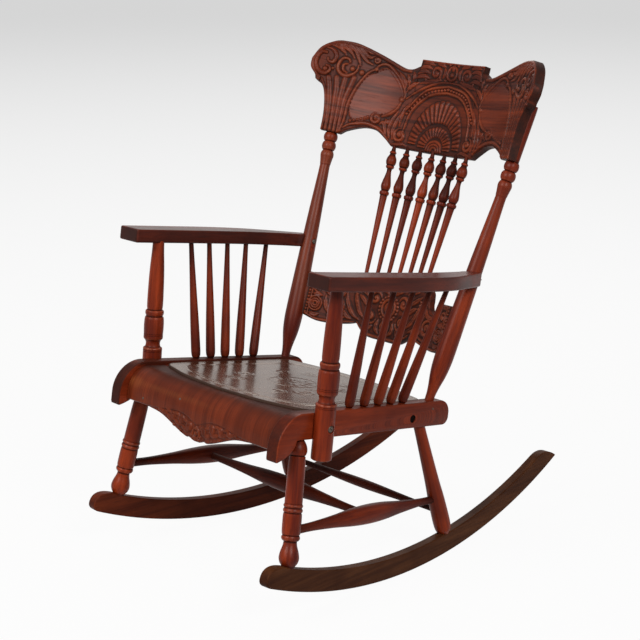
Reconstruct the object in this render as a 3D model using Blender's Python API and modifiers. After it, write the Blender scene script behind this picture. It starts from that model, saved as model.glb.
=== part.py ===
"""Pressed back rocking chair of turned, sawn and bent wood, in metres, +Z up, floor at z = 0.

The sitter faces -Y. Rails, arms, roll and panel lie in the sloping seat frame (x across, l towards the
rear, h up from the top of the rails). Crest, splat and back spindles lie in the leaning back frame, on
a face bent about an upright axis in front of it (s along the bend, v up the lean, d behind the face).
"""
import math

import bmesh
import bpy
from mathutils import Matrix, Vector

# Fits
CLEARANCE = 0.0003

# Width of the chair: distance between the middles of the seat rails in front
RAIL_SPACING = 0.468

# Rockers: arc of the floor edge, toe-in towards the rear, depth in front and at the tail
ROCKER_RADIUS = 1.020
ROCKER_BALANCE = -0.022
ROCKER_FACET = math.radians(3.0)
ROCKER_FRONT = -0.459
ROCKER_TAIL = 0.459
ROCKER_FRONT_DEPTH = 0.0445
ROCKER_TAIL_DEPTH = 0.041
ROCKER_THICKNESS = 0.022
ROCKER_SPACING = RAIL_SPACING + 0.011
ROCKER_TOE_IN = math.radians(3.72)
ROCKER_NOSE_ROUND = 0.030
ROCKER_NOSE_LENGTH = 0.045
ROCKER_TAIL_SWEEP = 0.070

# Seat frame: front of the rails' straight top, its height above the floor, slope down to the rear
SEAT_Y = -0.248
SEAT_HEIGHT = 0.388
SEAT_SLOPE = math.radians(9.4)

# Seat rails: scrolled in front, rounded behind
RAIL_TOE_IN = math.radians(2.6)
RAIL_THICKNESS = 0.029
RAIL_HEIGHT = 0.0515
RAIL_SOCKET_INSET = 0.003
RAIL_REAR = 0.346
RAIL_REAR_ROUND = 0.028
SCROLL_RADIUS = 0.065
SCROLL_CENTRE = -0.081
SCROLL_DROP = 0.026
SCROLL_HEEL = -0.095

# Front roll and its apron, seat panel and the rails under it
ROLL_THICKNESS = 0.009
ROLL_INSET = 0.018
ROLL_TOP = 0.0083
ROLL_FALL = 0.050
ROLL_EDGE = 0.077
ROLL_CURL = 0.002
APRON_DROP = 0.036
APRON_HALF_WIDTH = 0.155
PANEL_THICKNESS = 0.005
PANEL_FRONT = -0.088
PANEL_BOW = 0.045
PANEL_REAR = 0.318
PANEL_REAR_BOW = 0.030
PANEL_SIDE_GAP = 0.001
PANEL_CORNER = 0.020
CROSS_RAIL_WIDTH = 0.022
CROSS_RAIL_HEIGHT = 0.040
FRONT_CROSS_RAIL = -0.040
REAR_CROSS_RAIL = 0.236

# Legs
FRONT_FOOT = -0.387
FRONT_LEG_TOP = -0.074
REAR_FOOT = 0.079
REAR_LEG_TOP = 0.275
LEG_TENON_RADIUS = 0.008
LEG_TENON = 0.021
FOOT_TENON_RADIUS = 0.007
FOOT_TENON = 0.022
FRONT_LEG_RADIUS = 0.018
REAR_LEG_RADIUS = 0.018
REAR_LEG_TOP_RADIUS = 0.0115

# Stretchers, by the distance of their ends up the legs
SIDE_STRETCHER_FRONT = 0.068
SIDE_STRETCHER_REAR = 0.080
SIDE_STRETCHER_RADIUS = 0.0195
SIDE_STRETCHER_FRONT_END = 0.0085
SIDE_STRETCHER_REAR_END = 0.0075
CROSS_STRETCHER_SHARE = 0.49
CROSS_STRETCHER_RADIUS = 0.0172
CROSS_STRETCHER_END = 0.0077
REAR_STRETCHER_HEIGHT = 0.050
REAR_STRETCHER_RADIUS = 0.010
REAR_STRETCHER_END = 0.006
SOCKET_FLOOR = 0.003

# Arm posts
ARM_POST_L = -0.0415
ARM_POST_TOP_L = -0.0535
ARM_POST_RADIUS = 0.020
ARM_POST_NOTCH = 0.007
ARM_POST_HANG = 0.089
ARM_POST_TENON_RADIUS = 0.007
ARM_POST_TENON = 0.018

# Arms: line of the posts, margins on its two sides, top above the rails
ARM_TOP = 0.269
ARM_THICKNESS = 0.028
ARM_LINE = RAIL_SPACING / 2 + 0.033
ARM_FRONT = -0.121
ARM_INNER_MARGIN = 0.013
ARM_OUTER_MARGIN = 0.051
ARM_SWELL = 0.005
ARM_END_WIDTH = 0.025
ARM_SPINDLE_LINE = ARM_LINE + 0.003
ARM_SPINDLE_FOOT = 0.052
ARM_SPINDLE_FOOT_RUN = 0.155
ARM_SPINDLE_TOP = 0.0365
ARM_SPINDLE_TOP_RUN = 0.213
ARM_SPINDLE_FANS = {
    "left": ((0.0, 0.0), (0.25, 0.235), (0.50, 0.474), (0.75, 0.723), (1.0, 1.0)),
    "right": ((0.0, 0.0), (0.27, 0.291), (0.53, 0.545), (0.77, 0.765), (1.0, 1.0)),
}
ARM_SPINDLE_RADIUS = 0.010
ARM_SPINDLE_TENON_RADIUS = 0.005
ARM_SPINDLE_TENON = 0.016

# Back frame: height of the crest's lower line above the seat frame, lean and bend
BACK_Y = 0.2775
BACK_HEIGHT = 0.416
BACK_LEAN = math.atan(0.366)
BACK_BEND = 0.510
BEND_STATION = 0.048
CUTTER_STATION = BEND_STATION / 2

# Crest rail, half outline from the middle outwards
CREST_THICKNESS = 0.021
CREST_BOTTOM = -0.0132
CREST_LOW_CORNER = 0.115
CREST_ARCH_TOP = 0.0158
CREST_LEG_END = -0.0095
CREST_LEG_INNER = RAIL_SPACING / 2 + 0.008
CREST_LEG_OUTER = CREST_LEG_INNER + 0.045
CREST_EAR = CREST_LEG_OUTER + 0.057
CREST_EAR_MIDDLE = 0.130
CREST_EAR_TOP = 0.195
CREST_NECK = 0.099
CREST_DIP = 0.161
CREST_BLOCK_HALF = 0.089
CREST_BLOCK_TOP = 0.186

# Back posts, from the rails up behind the crest
BACK_POST_L = 0.297
BACK_POST_TENON_RADIUS = 0.009
BACK_POST_TENON = 0.022
BACK_POST_RADIUS = 0.0195
BACK_POST_NECK_RADIUS = 0.0115
BACK_POST_BEAD_RADIUS = 0.0148
BACK_POST_BEAD = 0.0205
BACK_POST_BEADS = 3
BACK_POST_TANG = 0.118
BACK_POST_BEHIND = 0.0028

# Splat, half outline from the middle outwards
SPLAT_THICKNESS = 0.016
SPLAT_FORWARD = 0.010
SPLAT_TOP = -0.298
SPLAT_BOTTOM = -0.429
SPLAT_SHOULDER = -0.321
SPLAT_CENTRE_HALF = 0.120
SPLAT_NOTCH_DEPTH = 0.026
SPLAT_SCALLOP = 0.024
SPLAT_HOUSING = 0.008

# Back spindles
BACK_SPINDLE_COUNT = 7
BACK_SPINDLE_TOP_PITCH = 0.035
BACK_SPINDLE_FOOT_PITCH = 0.0295
BACK_SPINDLE_RADIUS = 0.0103
BACK_SPINDLE_NECK_RADIUS = 0.0036
BACK_SPINDLE_FOOT_RADIUS = 0.0043
BACK_SPINDLE_TENON = 0.014
BACK_SPINDLE_DEPTH = 0.0058

# Screws with round slotted heads
SCREW_HEAD_RADIUS = 0.0055
SCREW_HEAD_HEIGHT = 0.003
SCREW_RADIUS = 0.0024
SCREW_LENGTH = 0.040
SCREW_SINK = 0.004

# Edges and smoothness
EDGE_ROUND = 0.0015
POST_SIDES = 12
STRETCHER_SIDES = 10
SPINDLE_SIDES = 8
ROUND_STEPS = 4

SIDES = {"left": -1, "right": 1}
WOOD = (0.20, 0.055, 0.030)
DARK_WOOD = (0.11, 0.045, 0.030)
STEEL = (0.28, 0.26, 0.24)

SEAT_FRAME = Matrix.Translation((0, SEAT_Y, SEAT_HEIGHT)) @ Matrix.Rotation(-SEAT_SLOPE, 4, "X")
BACK_FRAME = Matrix.Translation((0, BACK_Y, SEAT_HEIGHT + BACK_HEIGHT)) @ Matrix.Rotation(-BACK_LEAN, 4, "X")
UPRIGHT = Matrix.Rotation(math.pi / 2, 4, "Z") @ Matrix.Rotation(math.pi / 2, 4, "X")
FACING = Matrix.Rotation(math.pi / 2, 4, "X")


def clear_scene():
    """Empty the file of objects."""
    for item in list(bpy.data.objects):
        bpy.data.objects.remove(item, do_unlink=True)


def new_collection(name):
    """Collection linked to the scene."""
    collection = bpy.data.collections.new(name)
    bpy.context.scene.collection.children.link(collection)
    return collection


def new_material(name, colour, roughness, metallic):
    """Plain finish of one kind of stock."""
    material = bpy.data.materials.new(name)
    material.use_nodes = True
    shader = material.node_tree.nodes["Principled BSDF"]
    shader.inputs["Base Color"].default_value = (*colour, 1)
    shader.inputs["Roughness"].default_value = roughness
    shader.inputs["Metallic"].default_value = metallic
    return material


clear_scene()
PARTS = new_collection("pressed_back_rocking_chair")
CUTTERS = new_collection("cutters")
FINISHES = {
    "wood": new_material("varnished_wood", WOOD, 0.35, 0.0),
    "seat": new_material("embossed_seat", DARK_WOOD, 0.25, 0.0),
    "steel": new_material("screw_steel", STEEL, 0.45, 1.0),
}


def add_part(name, mesh, finish="wood"):
    """Named piece of the chair."""
    item = bpy.data.objects.new(name, mesh)
    item.data.materials.append(FINISHES[finish])
    PARTS.objects.link(item)
    return item


def add_cutter(name, mesh):
    """Tool body that is only subtracted."""
    item = bpy.data.objects.new(name, mesh)
    item.hide_render = True
    item.display_type = "WIRE"
    CUTTERS.objects.link(item)
    return item


def cut(target, cutter):
    """Subtract a tool body from a piece."""
    boolean = target.modifiers.new(cutter.name, "BOOLEAN")
    boolean.operation = "DIFFERENCE"
    boolean.solver = "EXACT"
    boolean.object = cutter


def mirrored(point, sign):
    """Point on the left (-1) or right (+1) half of the chair."""
    return Vector((sign * point[0], point[1], point[2]))


def seat_point(x, l, h):
    """World place of a point of the seat frame."""
    return SEAT_FRAME @ Vector((x, l, h))


def back_point(s, v, d):
    """World place of a point of the bent back frame."""
    turn = s / BACK_BEND
    radius = BACK_BEND + d
    return BACK_FRAME @ Vector((radius * math.sin(turn), radius * math.cos(turn) - BACK_BEND, v))


def back_place(point):
    """Arc length, height and depth of a world point in the bent back frame."""
    x, w, v = BACK_FRAME.inverted() @ point
    across = math.hypot(x, w + BACK_BEND)
    return BACK_BEND * math.atan2(x, w + BACK_BEND), v, across - BACK_BEND


def through(points, steps=ROUND_STEPS):
    """Smooth run through the points (Catmull-Rom), ends included."""
    padded = [points[0]] + list(points) + [points[-1]]
    run = []
    for a, b, c, d in zip(padded, padded[1:], padded[2:], padded[3:]):
        for step in range(steps):
            t = step / steps
            run.append(tuple(
                0.5 * (2 * q + (r - p) * t + (2 * p - 5 * q + 4 * r - e) * t * t
                       + (3 * q - p - 3 * r + e) * t ** 3)
                for p, q, r, e in zip(a, b, c, d)))
    return run + [tuple(points[-1])]


def swept(start, corner, end, steps=ROUND_STEPS):
    """Rounded corner from start to end, drawn towards the corner point."""
    run = []
    for step in range(steps + 1):
        t = step / steps
        run.append(tuple(
            (1 - t) ** 2 * a + 2 * t * (1 - t) * b + t * t * c for a, b, c in zip(start, corner, end)))
    return run


def arc(centre, radius, start, end, steps=ROUND_STEPS):
    """Points of an arc between two angles."""
    angles = [start + (end - start) * step / steps for step in range(steps + 1)]
    return [(centre[0] + radius * math.cos(a), centre[1] + radius * math.sin(a)) for a in angles]


def without_repeats(points):
    """Closed outline with no point given twice in a row."""
    kept = [points[0]]
    for point in points[1:]:
        if math.dist(point, kept[-1]) > CLEARANCE:
            kept.append(point)
    if math.dist(kept[0], kept[-1]) < CLEARANCE:
        kept.pop()
    return kept


def sawn_mesh(name, outline, thickness):
    """Board of even thickness, sawn to an outline, middle of its thickness on its own XY plane."""
    outline = without_repeats(outline)
    curve = bpy.data.curves.new(name, "CURVE")
    curve.dimensions = "2D"
    curve.fill_mode = "BOTH"
    curve.extrude = thickness / 2
    spline = curve.splines.new("POLY")
    spline.points.add(len(outline) - 1)
    for point, (u, v) in zip(spline.points, outline):
        point.co = (u, v, 0, 1)
    spline.use_cyclic_u = True
    drawn = bpy.data.objects.new(name, curve)
    CUTTERS.objects.link(drawn)
    evaluated = drawn.evaluated_get(bpy.context.evaluated_depsgraph_get())
    mesh = bpy.data.meshes.new_from_object(evaluated)
    bpy.data.objects.remove(drawn)
    body = bmesh.new()
    body.from_mesh(mesh)
    bmesh.ops.remove_doubles(body, verts=body.verts, dist=CLEARANCE / 10)
    bmesh.ops.dissolve_limit(body, angle_limit=math.radians(0.5), verts=body.verts, edges=body.edges)
    bmesh.ops.recalc_face_normals(body, faces=body.faces)
    body.to_mesh(mesh)
    body.free()
    return mesh


def bent_mesh(name, outline, front, rear, spacing=BEND_STATION):
    """Board sawn to an outline in s and v, then bent round the back from depth front to rear."""
    mesh = sawn_mesh(name, outline, rear - front)
    body = bmesh.new()
    body.from_mesh(mesh)
    reach = max(abs(point[0]) for point in outline)
    stations = int(reach / spacing)
    for station in range(-stations, stations + 1):
        bmesh.ops.bisect_plane(
            body, geom=body.verts[:] + body.edges[:] + body.faces[:], dist=CLEARANCE / 10,
            plane_co=(station * spacing, 0, 0), plane_no=(1, 0, 0))
    middle = (front + rear) / 2
    for vertex in body.verts:
        s, v, depth = vertex.co
        vertex.co = back_point(s, v, middle - depth)
    bmesh.ops.triangulate(body, faces=body.faces)
    bmesh.ops.recalc_face_normals(body, faces=body.faces)
    body.to_mesh(mesh)
    body.free()
    return mesh


def round_edges(item, width=EDGE_ROUND):
    """Break the sharp edges of a board."""
    bevel = item.modifiers.new("eased_edges", "BEVEL")
    bevel.width = width
    bevel.segments = 1
    bevel.limit_method = "ANGLE"
    bevel.angle_limit = math.radians(50)


def shoulder_shift(first, second):
    """How far a square shoulder between two profile points moves when the piece grows."""
    if first[0] < second[0]:
        return 0.0
    return CLEARANCE if second[1] < first[1] else -CLEARANCE


class Turning:
    """Piece turned on the line from start to end; its profile is (distance from start, radius)."""

    def __init__(self, name, start, end, profile, sides, finish="wood"):
        self.name = name
        self.start = Vector(start)
        self.axis = (Vector(end) - self.start).normalized()
        self.length = (Vector(end) - self.start).length
        self.profile = profile
        self.sides = sides
        self.item = add_part(name, self.lathe_mesh(name, profile), finish)
        self.set_up(self.item)

    def lathe_mesh(self, name, profile):
        """Half profile drawn at +X from top to bottom, closed on the axis."""
        points = [(0.0, profile[-1][0])]
        points += [(radius, distance) for distance, radius in reversed(profile)]
        points.append((0.0, profile[0][0]))
        mesh = bpy.data.meshes.new(name)
        edges = [(index, index + 1) for index in range(len(points) - 1)]
        mesh.from_pydata([(radius, 0, distance) for radius, distance in points], edges, [])
        return mesh

    def set_up(self, item):
        """Stand the profile on the axis and turn it."""
        item.location = self.start
        item.rotation_mode = "QUATERNION"
        item.rotation_quaternion = self.axis.to_track_quat("Z", "Y")
        screw = item.modifiers.new("lathe", "SCREW")
        screw.steps = self.sides
        screw.render_steps = self.sides
        screw.use_merge_vertices = True
        screw.merge_threshold = CLEARANCE / 10
        screw.use_smooth_shade = True

    def at(self, distance):
        """World point on the axis."""
        return self.start + self.axis * distance

    def radius_at(self, distance):
        """Radius of the profile at a distance from the start."""
        for (low, first), (high, second) in zip(self.profile, self.profile[1:]):
            if low <= distance <= high and high > low:
                return first + (second - first) * (distance - low) / (high - low)
        return self.profile[-1][1]

    def cutter(self, name, profile):
        """Tool body turned on the same line."""
        tool = add_cutter(name, self.lathe_mesh(name, profile))
        self.set_up(tool)
        return tool

    def grown(self, low, high):
        """Profile between two distances, larger all round by the clearance."""
        shifts = [0.0] + [shoulder_shift(*pair) for pair in zip(self.profile, self.profile[1:])] + [0.0]
        grown = [
            (distance + (below or above), radius + CLEARANCE)
            for (distance, radius), below, above in zip(self.profile, shifts, shifts[1:])
            if low < distance < high]
        tip, end = self.profile[0][0], self.profile[-1][0]
        first = max(low, tip - CLEARANCE)
        last = min(high, end + CLEARANCE)
        return ([(first, self.radius_at(max(first, tip)) + CLEARANCE)] + grown
                + [(last, self.radius_at(min(last, end)) + CLEARANCE)])

    def seat_in(self, target, low, high):
        """Cut a socket for this piece in another one, between two distances."""
        name = f"{target.name}_for_{self.name}"
        cut(target, self.cutter(name, self.grown(low, high)))


def box_cutter(name, low, high, placement):
    """Block between two corners, set in a frame."""
    body = bmesh.new()
    bmesh.ops.create_cube(body, size=1)
    size = Vector(high) - Vector(low)
    middle = (Vector(high) + Vector(low)) / 2
    bmesh.ops.transform(
        body, verts=body.verts, matrix=Matrix.Translation(middle) @ Matrix.Diagonal((*size, 1)))
    mesh = bpy.data.meshes.new(name)
    body.to_mesh(mesh)
    body.free()
    tool = add_cutter(name, mesh)
    tool.matrix_world = placement
    return tool


def add_board(name, outline, thickness, placement, finish="wood"):
    """Sawn board with eased edges, set in a frame."""
    item = add_part(name, sawn_mesh(name, outline, thickness), finish)
    item.matrix_world = placement
    round_edges(item)
    return item


# Rockers

ROCKER_CENTRE_Z = ROCKER_RADIUS * math.cos(ROCKER_FACET / 2)
ROCKER_TOP_RADIUS = ROCKER_RADIUS - (ROCKER_FRONT_DEPTH + ROCKER_TAIL_DEPTH) / 2
ROCKER_HALF_ANGLE = math.asin((ROCKER_TAIL - ROCKER_FRONT) / 2 / ROCKER_RADIUS)
ROCKER_TOP_SHIFT = (ROCKER_FRONT_DEPTH - ROCKER_TAIL_DEPTH) / 2 / math.sin(ROCKER_HALF_ANGLE)
ROCKER_TOP_CENTRE = ROCKER_BALANCE + ROCKER_TOP_SHIFT


def rocker_bottom(u):
    """Height of the floor arc at a place along the rocker."""
    return ROCKER_CENTRE_Z - math.sqrt(ROCKER_RADIUS ** 2 - (u - ROCKER_BALANCE) ** 2)


def rocker_top(u):
    """Height of the upper arc at a place along the rocker."""
    return ROCKER_CENTRE_Z - math.sqrt(ROCKER_TOP_RADIUS ** 2 - (u - ROCKER_TOP_CENTRE) ** 2)


def rocker_point(u, z, sign):
    """World point in the middle of a rocker's thickness."""
    x = ROCKER_SPACING / 2 - u * math.sin(ROCKER_TOE_IN)
    return mirrored((x, u * math.cos(ROCKER_TOE_IN), z), sign)


def rocker_outline():
    """Floor arc in flat facets, one of them level under the balance, upper arc, nose and tail."""
    low = math.asin((ROCKER_FRONT - ROCKER_BALANCE) / ROCKER_RADIUS)
    high = math.asin((ROCKER_TAIL - ROCKER_BALANCE) / ROCKER_RADIUS)
    first = math.ceil(low / ROCKER_FACET - 0.5) + 0.5
    angles = [low]
    while first * ROCKER_FACET < high:
        angles.append(first * ROCKER_FACET)
        first += 1
    angles.append(high)
    floor = [
        (ROCKER_BALANCE + ROCKER_RADIUS * math.sin(a), ROCKER_CENTRE_Z - ROCKER_RADIUS * math.cos(a))
        for a in angles]
    sweep_start = ROCKER_TAIL - ROCKER_TAIL_SWEEP
    slope = math.tan(math.asin((sweep_start - ROCKER_TOP_CENTRE) / ROCKER_TOP_RADIUS))
    crown = sweep_start + ROCKER_TAIL_SWEEP * 0.48
    crown_point = (crown, rocker_top(sweep_start) + slope * (crown - sweep_start))
    tail = swept(floor[-1], crown_point, (sweep_start, rocker_top(sweep_start)))
    toe = floor[0]
    toward_centre = Vector((-math.sin(low), math.cos(low)))
    corner = Vector(toe) + toward_centre * ROCKER_FRONT_DEPTH
    nose_end = corner.x + ROCKER_NOSE_LENGTH
    top_count = 2 * len(angles) // 3
    top = []
    for step in range(1, top_count):
        u = sweep_start + (nose_end - sweep_start) * step / top_count
        top.append((u, rocker_top(u)))
    nose_start = Vector(toe) + toward_centre * (ROCKER_FRONT_DEPTH - ROCKER_NOSE_ROUND)
    nose = swept((nose_end, rocker_top(nose_end)), (corner.x, rocker_top(corner.x)), tuple(nose_start))
    return floor + tail[1:] + top + nose


def make_rocker(side, sign):
    """One sawn rocker, toed in towards the rear."""
    placement = (Matrix.Translation((sign * ROCKER_SPACING / 2, 0, 0))
                 @ Matrix.Rotation(sign * ROCKER_TOE_IN, 4, "Z") @ UPRIGHT)
    return add_board(f"rocker_{side}", rocker_outline(), ROCKER_THICKNESS, placement)


# Seat rails

SCROLL_FRONT = SCROLL_CENTRE - SCROLL_RADIUS
SCROLL_BOTTOM = SCROLL_RADIUS + SCROLL_DROP


def rail_x(l):
    """Half distance between the middles of the rails."""
    return RAIL_SPACING / 2 - l * math.tan(RAIL_TOE_IN)


def socket_x(l):
    """Half distance between the sockets of the legs and back posts in the rails."""
    return rail_x(l) - RAIL_SOCKET_INSET


def rail_frame(sign):
    """Frame of one rail: x across it, y along it, z up."""
    return (SEAT_FRAME @ Matrix.Translation((sign * RAIL_SPACING / 2, 0, 0))
            @ Matrix.Rotation(sign * RAIL_TOE_IN, 4, "Z"))


def rail_outline():
    """Scroll in front, straight top and bottom, rounded rear end."""
    turn = math.pi / 2
    rear = RAIL_REAR - RAIL_REAR_ROUND
    outline = arc((SCROLL_CENTRE, -SCROLL_RADIUS), SCROLL_RADIUS, math.pi, turn, 2 * ROUND_STEPS)
    outline += arc((rear, -RAIL_REAR_ROUND), RAIL_REAR_ROUND, turn, 0)
    low_round = (RAIL_HEIGHT - RAIL_REAR_ROUND) * 0.7
    outline += arc((RAIL_REAR - low_round, low_round - RAIL_HEIGHT), low_round, 0, -turn)
    heel = (SCROLL_HEEL, -RAIL_HEIGHT)
    tip = (SCROLL_FRONT + EDGE_ROUND, -SCROLL_BOTTOM)
    middle = (SCROLL_HEEL - (SCROLL_HEEL - tip[0]) * 0.1, -RAIL_HEIGHT - (SCROLL_BOTTOM - RAIL_HEIGHT) * 0.7)
    outline += swept(heel, middle, tip)
    outline.append((SCROLL_FRONT, -SCROLL_BOTTOM + SCROLL_DROP / 4))
    return outline


def make_rail(side, sign):
    """One scrolled seat rail."""
    return add_board(f"seat_rail_{side}", rail_outline(), RAIL_THICKNESS, rail_frame(sign) @ UPRIGHT)


# Front roll, panel and cross rails

ROLL_FRONT = SCROLL_FRONT + ROLL_INSET
ROLL_REACH = PANEL_FRONT + CLEARANCE * 10 - ROLL_FRONT
ROLL_BOTTOM = ROLL_EDGE + APRON_DROP


def inside_rails(item, low_l, high_l, depth):
    """Trim a cross piece to the inner faces of the two rails."""
    for side, sign in SIDES.items():
        inner = RAIL_THICKNESS / 2 + CLEARANCE
        across = sorted((-sign * inner, sign * RAIL_SPACING))
        tool = box_cutter(
            f"{item.name}_end_{side}", (across[0], low_l, -depth), (across[1], high_l, depth),
            rail_frame(sign))
        cut(item, tool)


def roll_outline():
    """Section of the bent front panel: flat behind, rounded over the front, hanging down to the apron."""
    def face(inset):
        steps = 2 * ROUND_STEPS
        points = [(FRONT_CROSS_RAIL - CLEARANCE, -ROLL_TOP - inset)]
        for step in range(steps + 1):
            a = math.pi / 2 * step / steps
            points.append((ROLL_FRONT + ROLL_REACH - (ROLL_REACH - inset) * math.sin(a),
                           -ROLL_TOP - ROLL_FALL + (ROLL_FALL - inset) * math.cos(a)))
        hang = ROLL_BOTTOM - ROLL_TOP - ROLL_FALL
        for step in range(1, ROUND_STEPS + 1):
            share = step / ROUND_STEPS
            points.append((ROLL_FRONT + inset + ROLL_CURL * share ** 2, -ROLL_TOP - ROLL_FALL - hang * share))
        return points
    return face(0) + list(reversed(face(ROLL_THICKNESS)))


def apron_outline():
    """Everything below the lower edge of the roll and its scalloped apron."""
    edge = [
        (APRON_HALF_WIDTH, 0.0),
        (APRON_HALF_WIDTH * 0.71, 0.17),
        (APRON_HALF_WIDTH * 0.36, 0.72),
        (APRON_HALF_WIDTH * 0.20, 0.90),
        (APRON_HALF_WIDTH * 0.16, 0.86),
        (APRON_HALF_WIDTH * 0.08, 1.0),
    ]
    half = [(x, -ROLL_EDGE - APRON_DROP * drop) for x, drop in edge]
    run = through(half[:4], ROUND_STEPS) + through(half[4:], 1)
    reach = RAIL_SPACING
    below = -ROLL_BOTTOM - ROLL_THICKNESS
    outline = [(reach, below), (reach, -ROLL_EDGE)] + run
    return outline + [(-x, h) for x, h in reversed(outline)]


def make_front_roll():
    """Thin bent panel between the scrolls, with the apron sawn along its lower edge."""
    item = add_board("front_roll", roll_outline(), RAIL_SPACING, SEAT_FRAME @ UPRIGHT)
    apron = add_cutter("apron_edge", sawn_mesh("apron_edge", apron_outline(), 2 * SCROLL_RADIUS))
    apron.matrix_world = SEAT_FRAME @ Matrix.Translation((0, ROLL_FRONT, 0)) @ FACING
    cut(item, apron)
    inside_rails(item, SCROLL_FRONT - SCROLL_RADIUS, SCROLL_RADIUS, RAIL_SPACING)
    return item


def panel_outline():
    """Seat panel between the rails: bowed front and rear edges with rounded corners."""
    def side_x(l):
        return rail_x(l) - RAIL_THICKNESS / 2 / math.cos(RAIL_TOE_IN) - PANEL_SIDE_GAP
    front = PANEL_FRONT + PANEL_BOW
    rear = PANEL_REAR - PANEL_REAR_BOW
    half = through([(0.0, PANEL_FRONT), (side_x(front) / 2, PANEL_FRONT + PANEL_BOW * 0.27),
                    (side_x(front) - PANEL_CORNER, front - PANEL_BOW * 0.1)], ROUND_STEPS)
    half += swept(half[-1], (side_x(front), front), (side_x(front + PANEL_CORNER), front + PANEL_CORNER))
    half += swept((side_x(rear - PANEL_CORNER), rear - PANEL_CORNER), (side_x(rear), rear),
                  (side_x(rear) - PANEL_CORNER, rear + PANEL_REAR_BOW * 0.2))
    half += through([half[-1], (side_x(rear) / 2, PANEL_REAR - PANEL_REAR_BOW * 0.25), (0.0, PANEL_REAR)])
    return half + [(-x, l) for x, l in reversed(half)]


def make_panel():
    """Thin seat panel that lies on the roll and the cross rails."""
    height = -ROLL_TOP + CLEARANCE + PANEL_THICKNESS / 2
    return add_board("seat_panel", panel_outline(), PANEL_THICKNESS,
                     SEAT_FRAME @ Matrix.Translation((0, 0, height)), "seat")


def make_cross_rail(name, start):
    """Plain rail between the two seat rails, under the panel."""
    low = -ROLL_TOP - CROSS_RAIL_HEIGHT
    outline = [(start, low), (start + CROSS_RAIL_WIDTH, low),
               (start + CROSS_RAIL_WIDTH, -ROLL_TOP), (start, -ROLL_TOP)]
    item = add_board(name, outline, RAIL_SPACING, SEAT_FRAME @ UPRIGHT)
    inside_rails(item, start - CROSS_RAIL_WIDTH, start + 2 * CROSS_RAIL_WIDTH, RAIL_SPACING)
    return item


# Legs

def make_front_leg(side, sign, rocker, rail):
    """Turned front leg: bulb foot, ring, barrel, double ring, shaft and dome."""
    foot = rocker_point(FRONT_FOOT, rocker_top(FRONT_FOOT), sign)
    top = seat_point(sign * socket_x(FRONT_LEG_TOP), FRONT_LEG_TOP, -RAIL_HEIGHT)
    rise = (top - foot).length
    full = FRONT_LEG_RADIUS
    profile = [
        (-FOOT_TENON, FOOT_TENON_RADIUS), (0, FOOT_TENON_RADIUS), (0, full * 0.68),
        (0.008, full * 0.94), (0.017, full * 1.08), (0.028, full * 0.98), (0.042, full * 0.76),
        (0.050, full * 0.72), (0.056, full * 0.99), (0.062, full * 0.90),
        (0.064, full * 0.98), (0.102, full), (0.104, full * 0.92), (0.108, full * 1.05),
        (0.112, full * 0.96), (0.116, full * 1.05), (0.120, full * 0.94),
        (rise - 0.032, full * 0.86), (rise - 0.030, full * 0.80), (rise - 0.023, full * 0.98),
        (rise - 0.011, full * 0.84), (rise - 0.004, full * 0.58),
        (rise - 0.004, LEG_TENON_RADIUS), (rise + LEG_TENON, LEG_TENON_RADIUS)]
    leg = Turning(f"front_leg_{side}", foot, top, profile, POST_SIDES)
    leg.seat_in(rocker, -rise, rise / 4)
    leg.seat_in(rail, rise / 2, 2 * rise)
    return leg


def make_rear_leg(side, sign, rocker, rail):
    """Plain turned rear leg, thick and rounded near the rocker."""
    foot = rocker_point(REAR_FOOT, rocker_top(REAR_FOOT), sign)
    top = seat_point(sign * socket_x(REAR_LEG_TOP), REAR_LEG_TOP, -RAIL_HEIGHT)
    rise = (top - foot).length
    full = REAR_LEG_RADIUS
    slim = REAR_LEG_TOP_RADIUS
    profile = [
        (-FOOT_TENON, FOOT_TENON_RADIUS), (0, FOOT_TENON_RADIUS), (0, full * 0.66),
        (0.006, full * 0.86), (0.014, full * 0.96), (0.034, full), (0.080, full * 0.95),
        (rise / 2, (full + slim) / 2), (rise + SOCKET_FLOOR, slim), (rise + SOCKET_FLOOR, LEG_TENON_RADIUS),
        (rise + LEG_TENON, LEG_TENON_RADIUS)]
    leg = Turning(f"rear_leg_{side}", foot, top, profile, POST_SIDES)
    leg.seat_in(rocker, -rise, rise / 4)
    leg.seat_in(rail, rise / 2, 2 * rise)
    return leg


# Stretchers

def make_stretcher(name, first, second, reach, ends, middle, hosts):
    """Spindle shaped stretcher from axis to axis, its ends socketed short of the axes."""
    axis = (second - first).normalized()
    start = first + axis * SOCKET_FLOOR
    end = second - axis * SOCKET_FLOOR
    length = (end - start).length
    swell = ((0.10, 0.02), (0.25, 0.36), (0.40, 0.86), (0.50, 1.0), (0.60, 0.90), (0.75, 0.42), (0.90, 0.05))
    profile = [(0, ends[0]), (reach, ends[0])]
    for share, part in swell:
        base = ends[0] + (ends[1] - ends[0]) * share
        profile.append((reach + (length - 2 * reach) * share, base + (middle - base) * part))
    profile += [(length - reach, ends[1]), (length, ends[1])]
    stretcher = Turning(name, start, end, profile, STRETCHER_SIDES)
    stretcher.seat_in(hosts[0], -length, length / 4)
    stretcher.seat_in(hosts[1], length * 3 / 4, 2 * length)
    return stretcher


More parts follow.
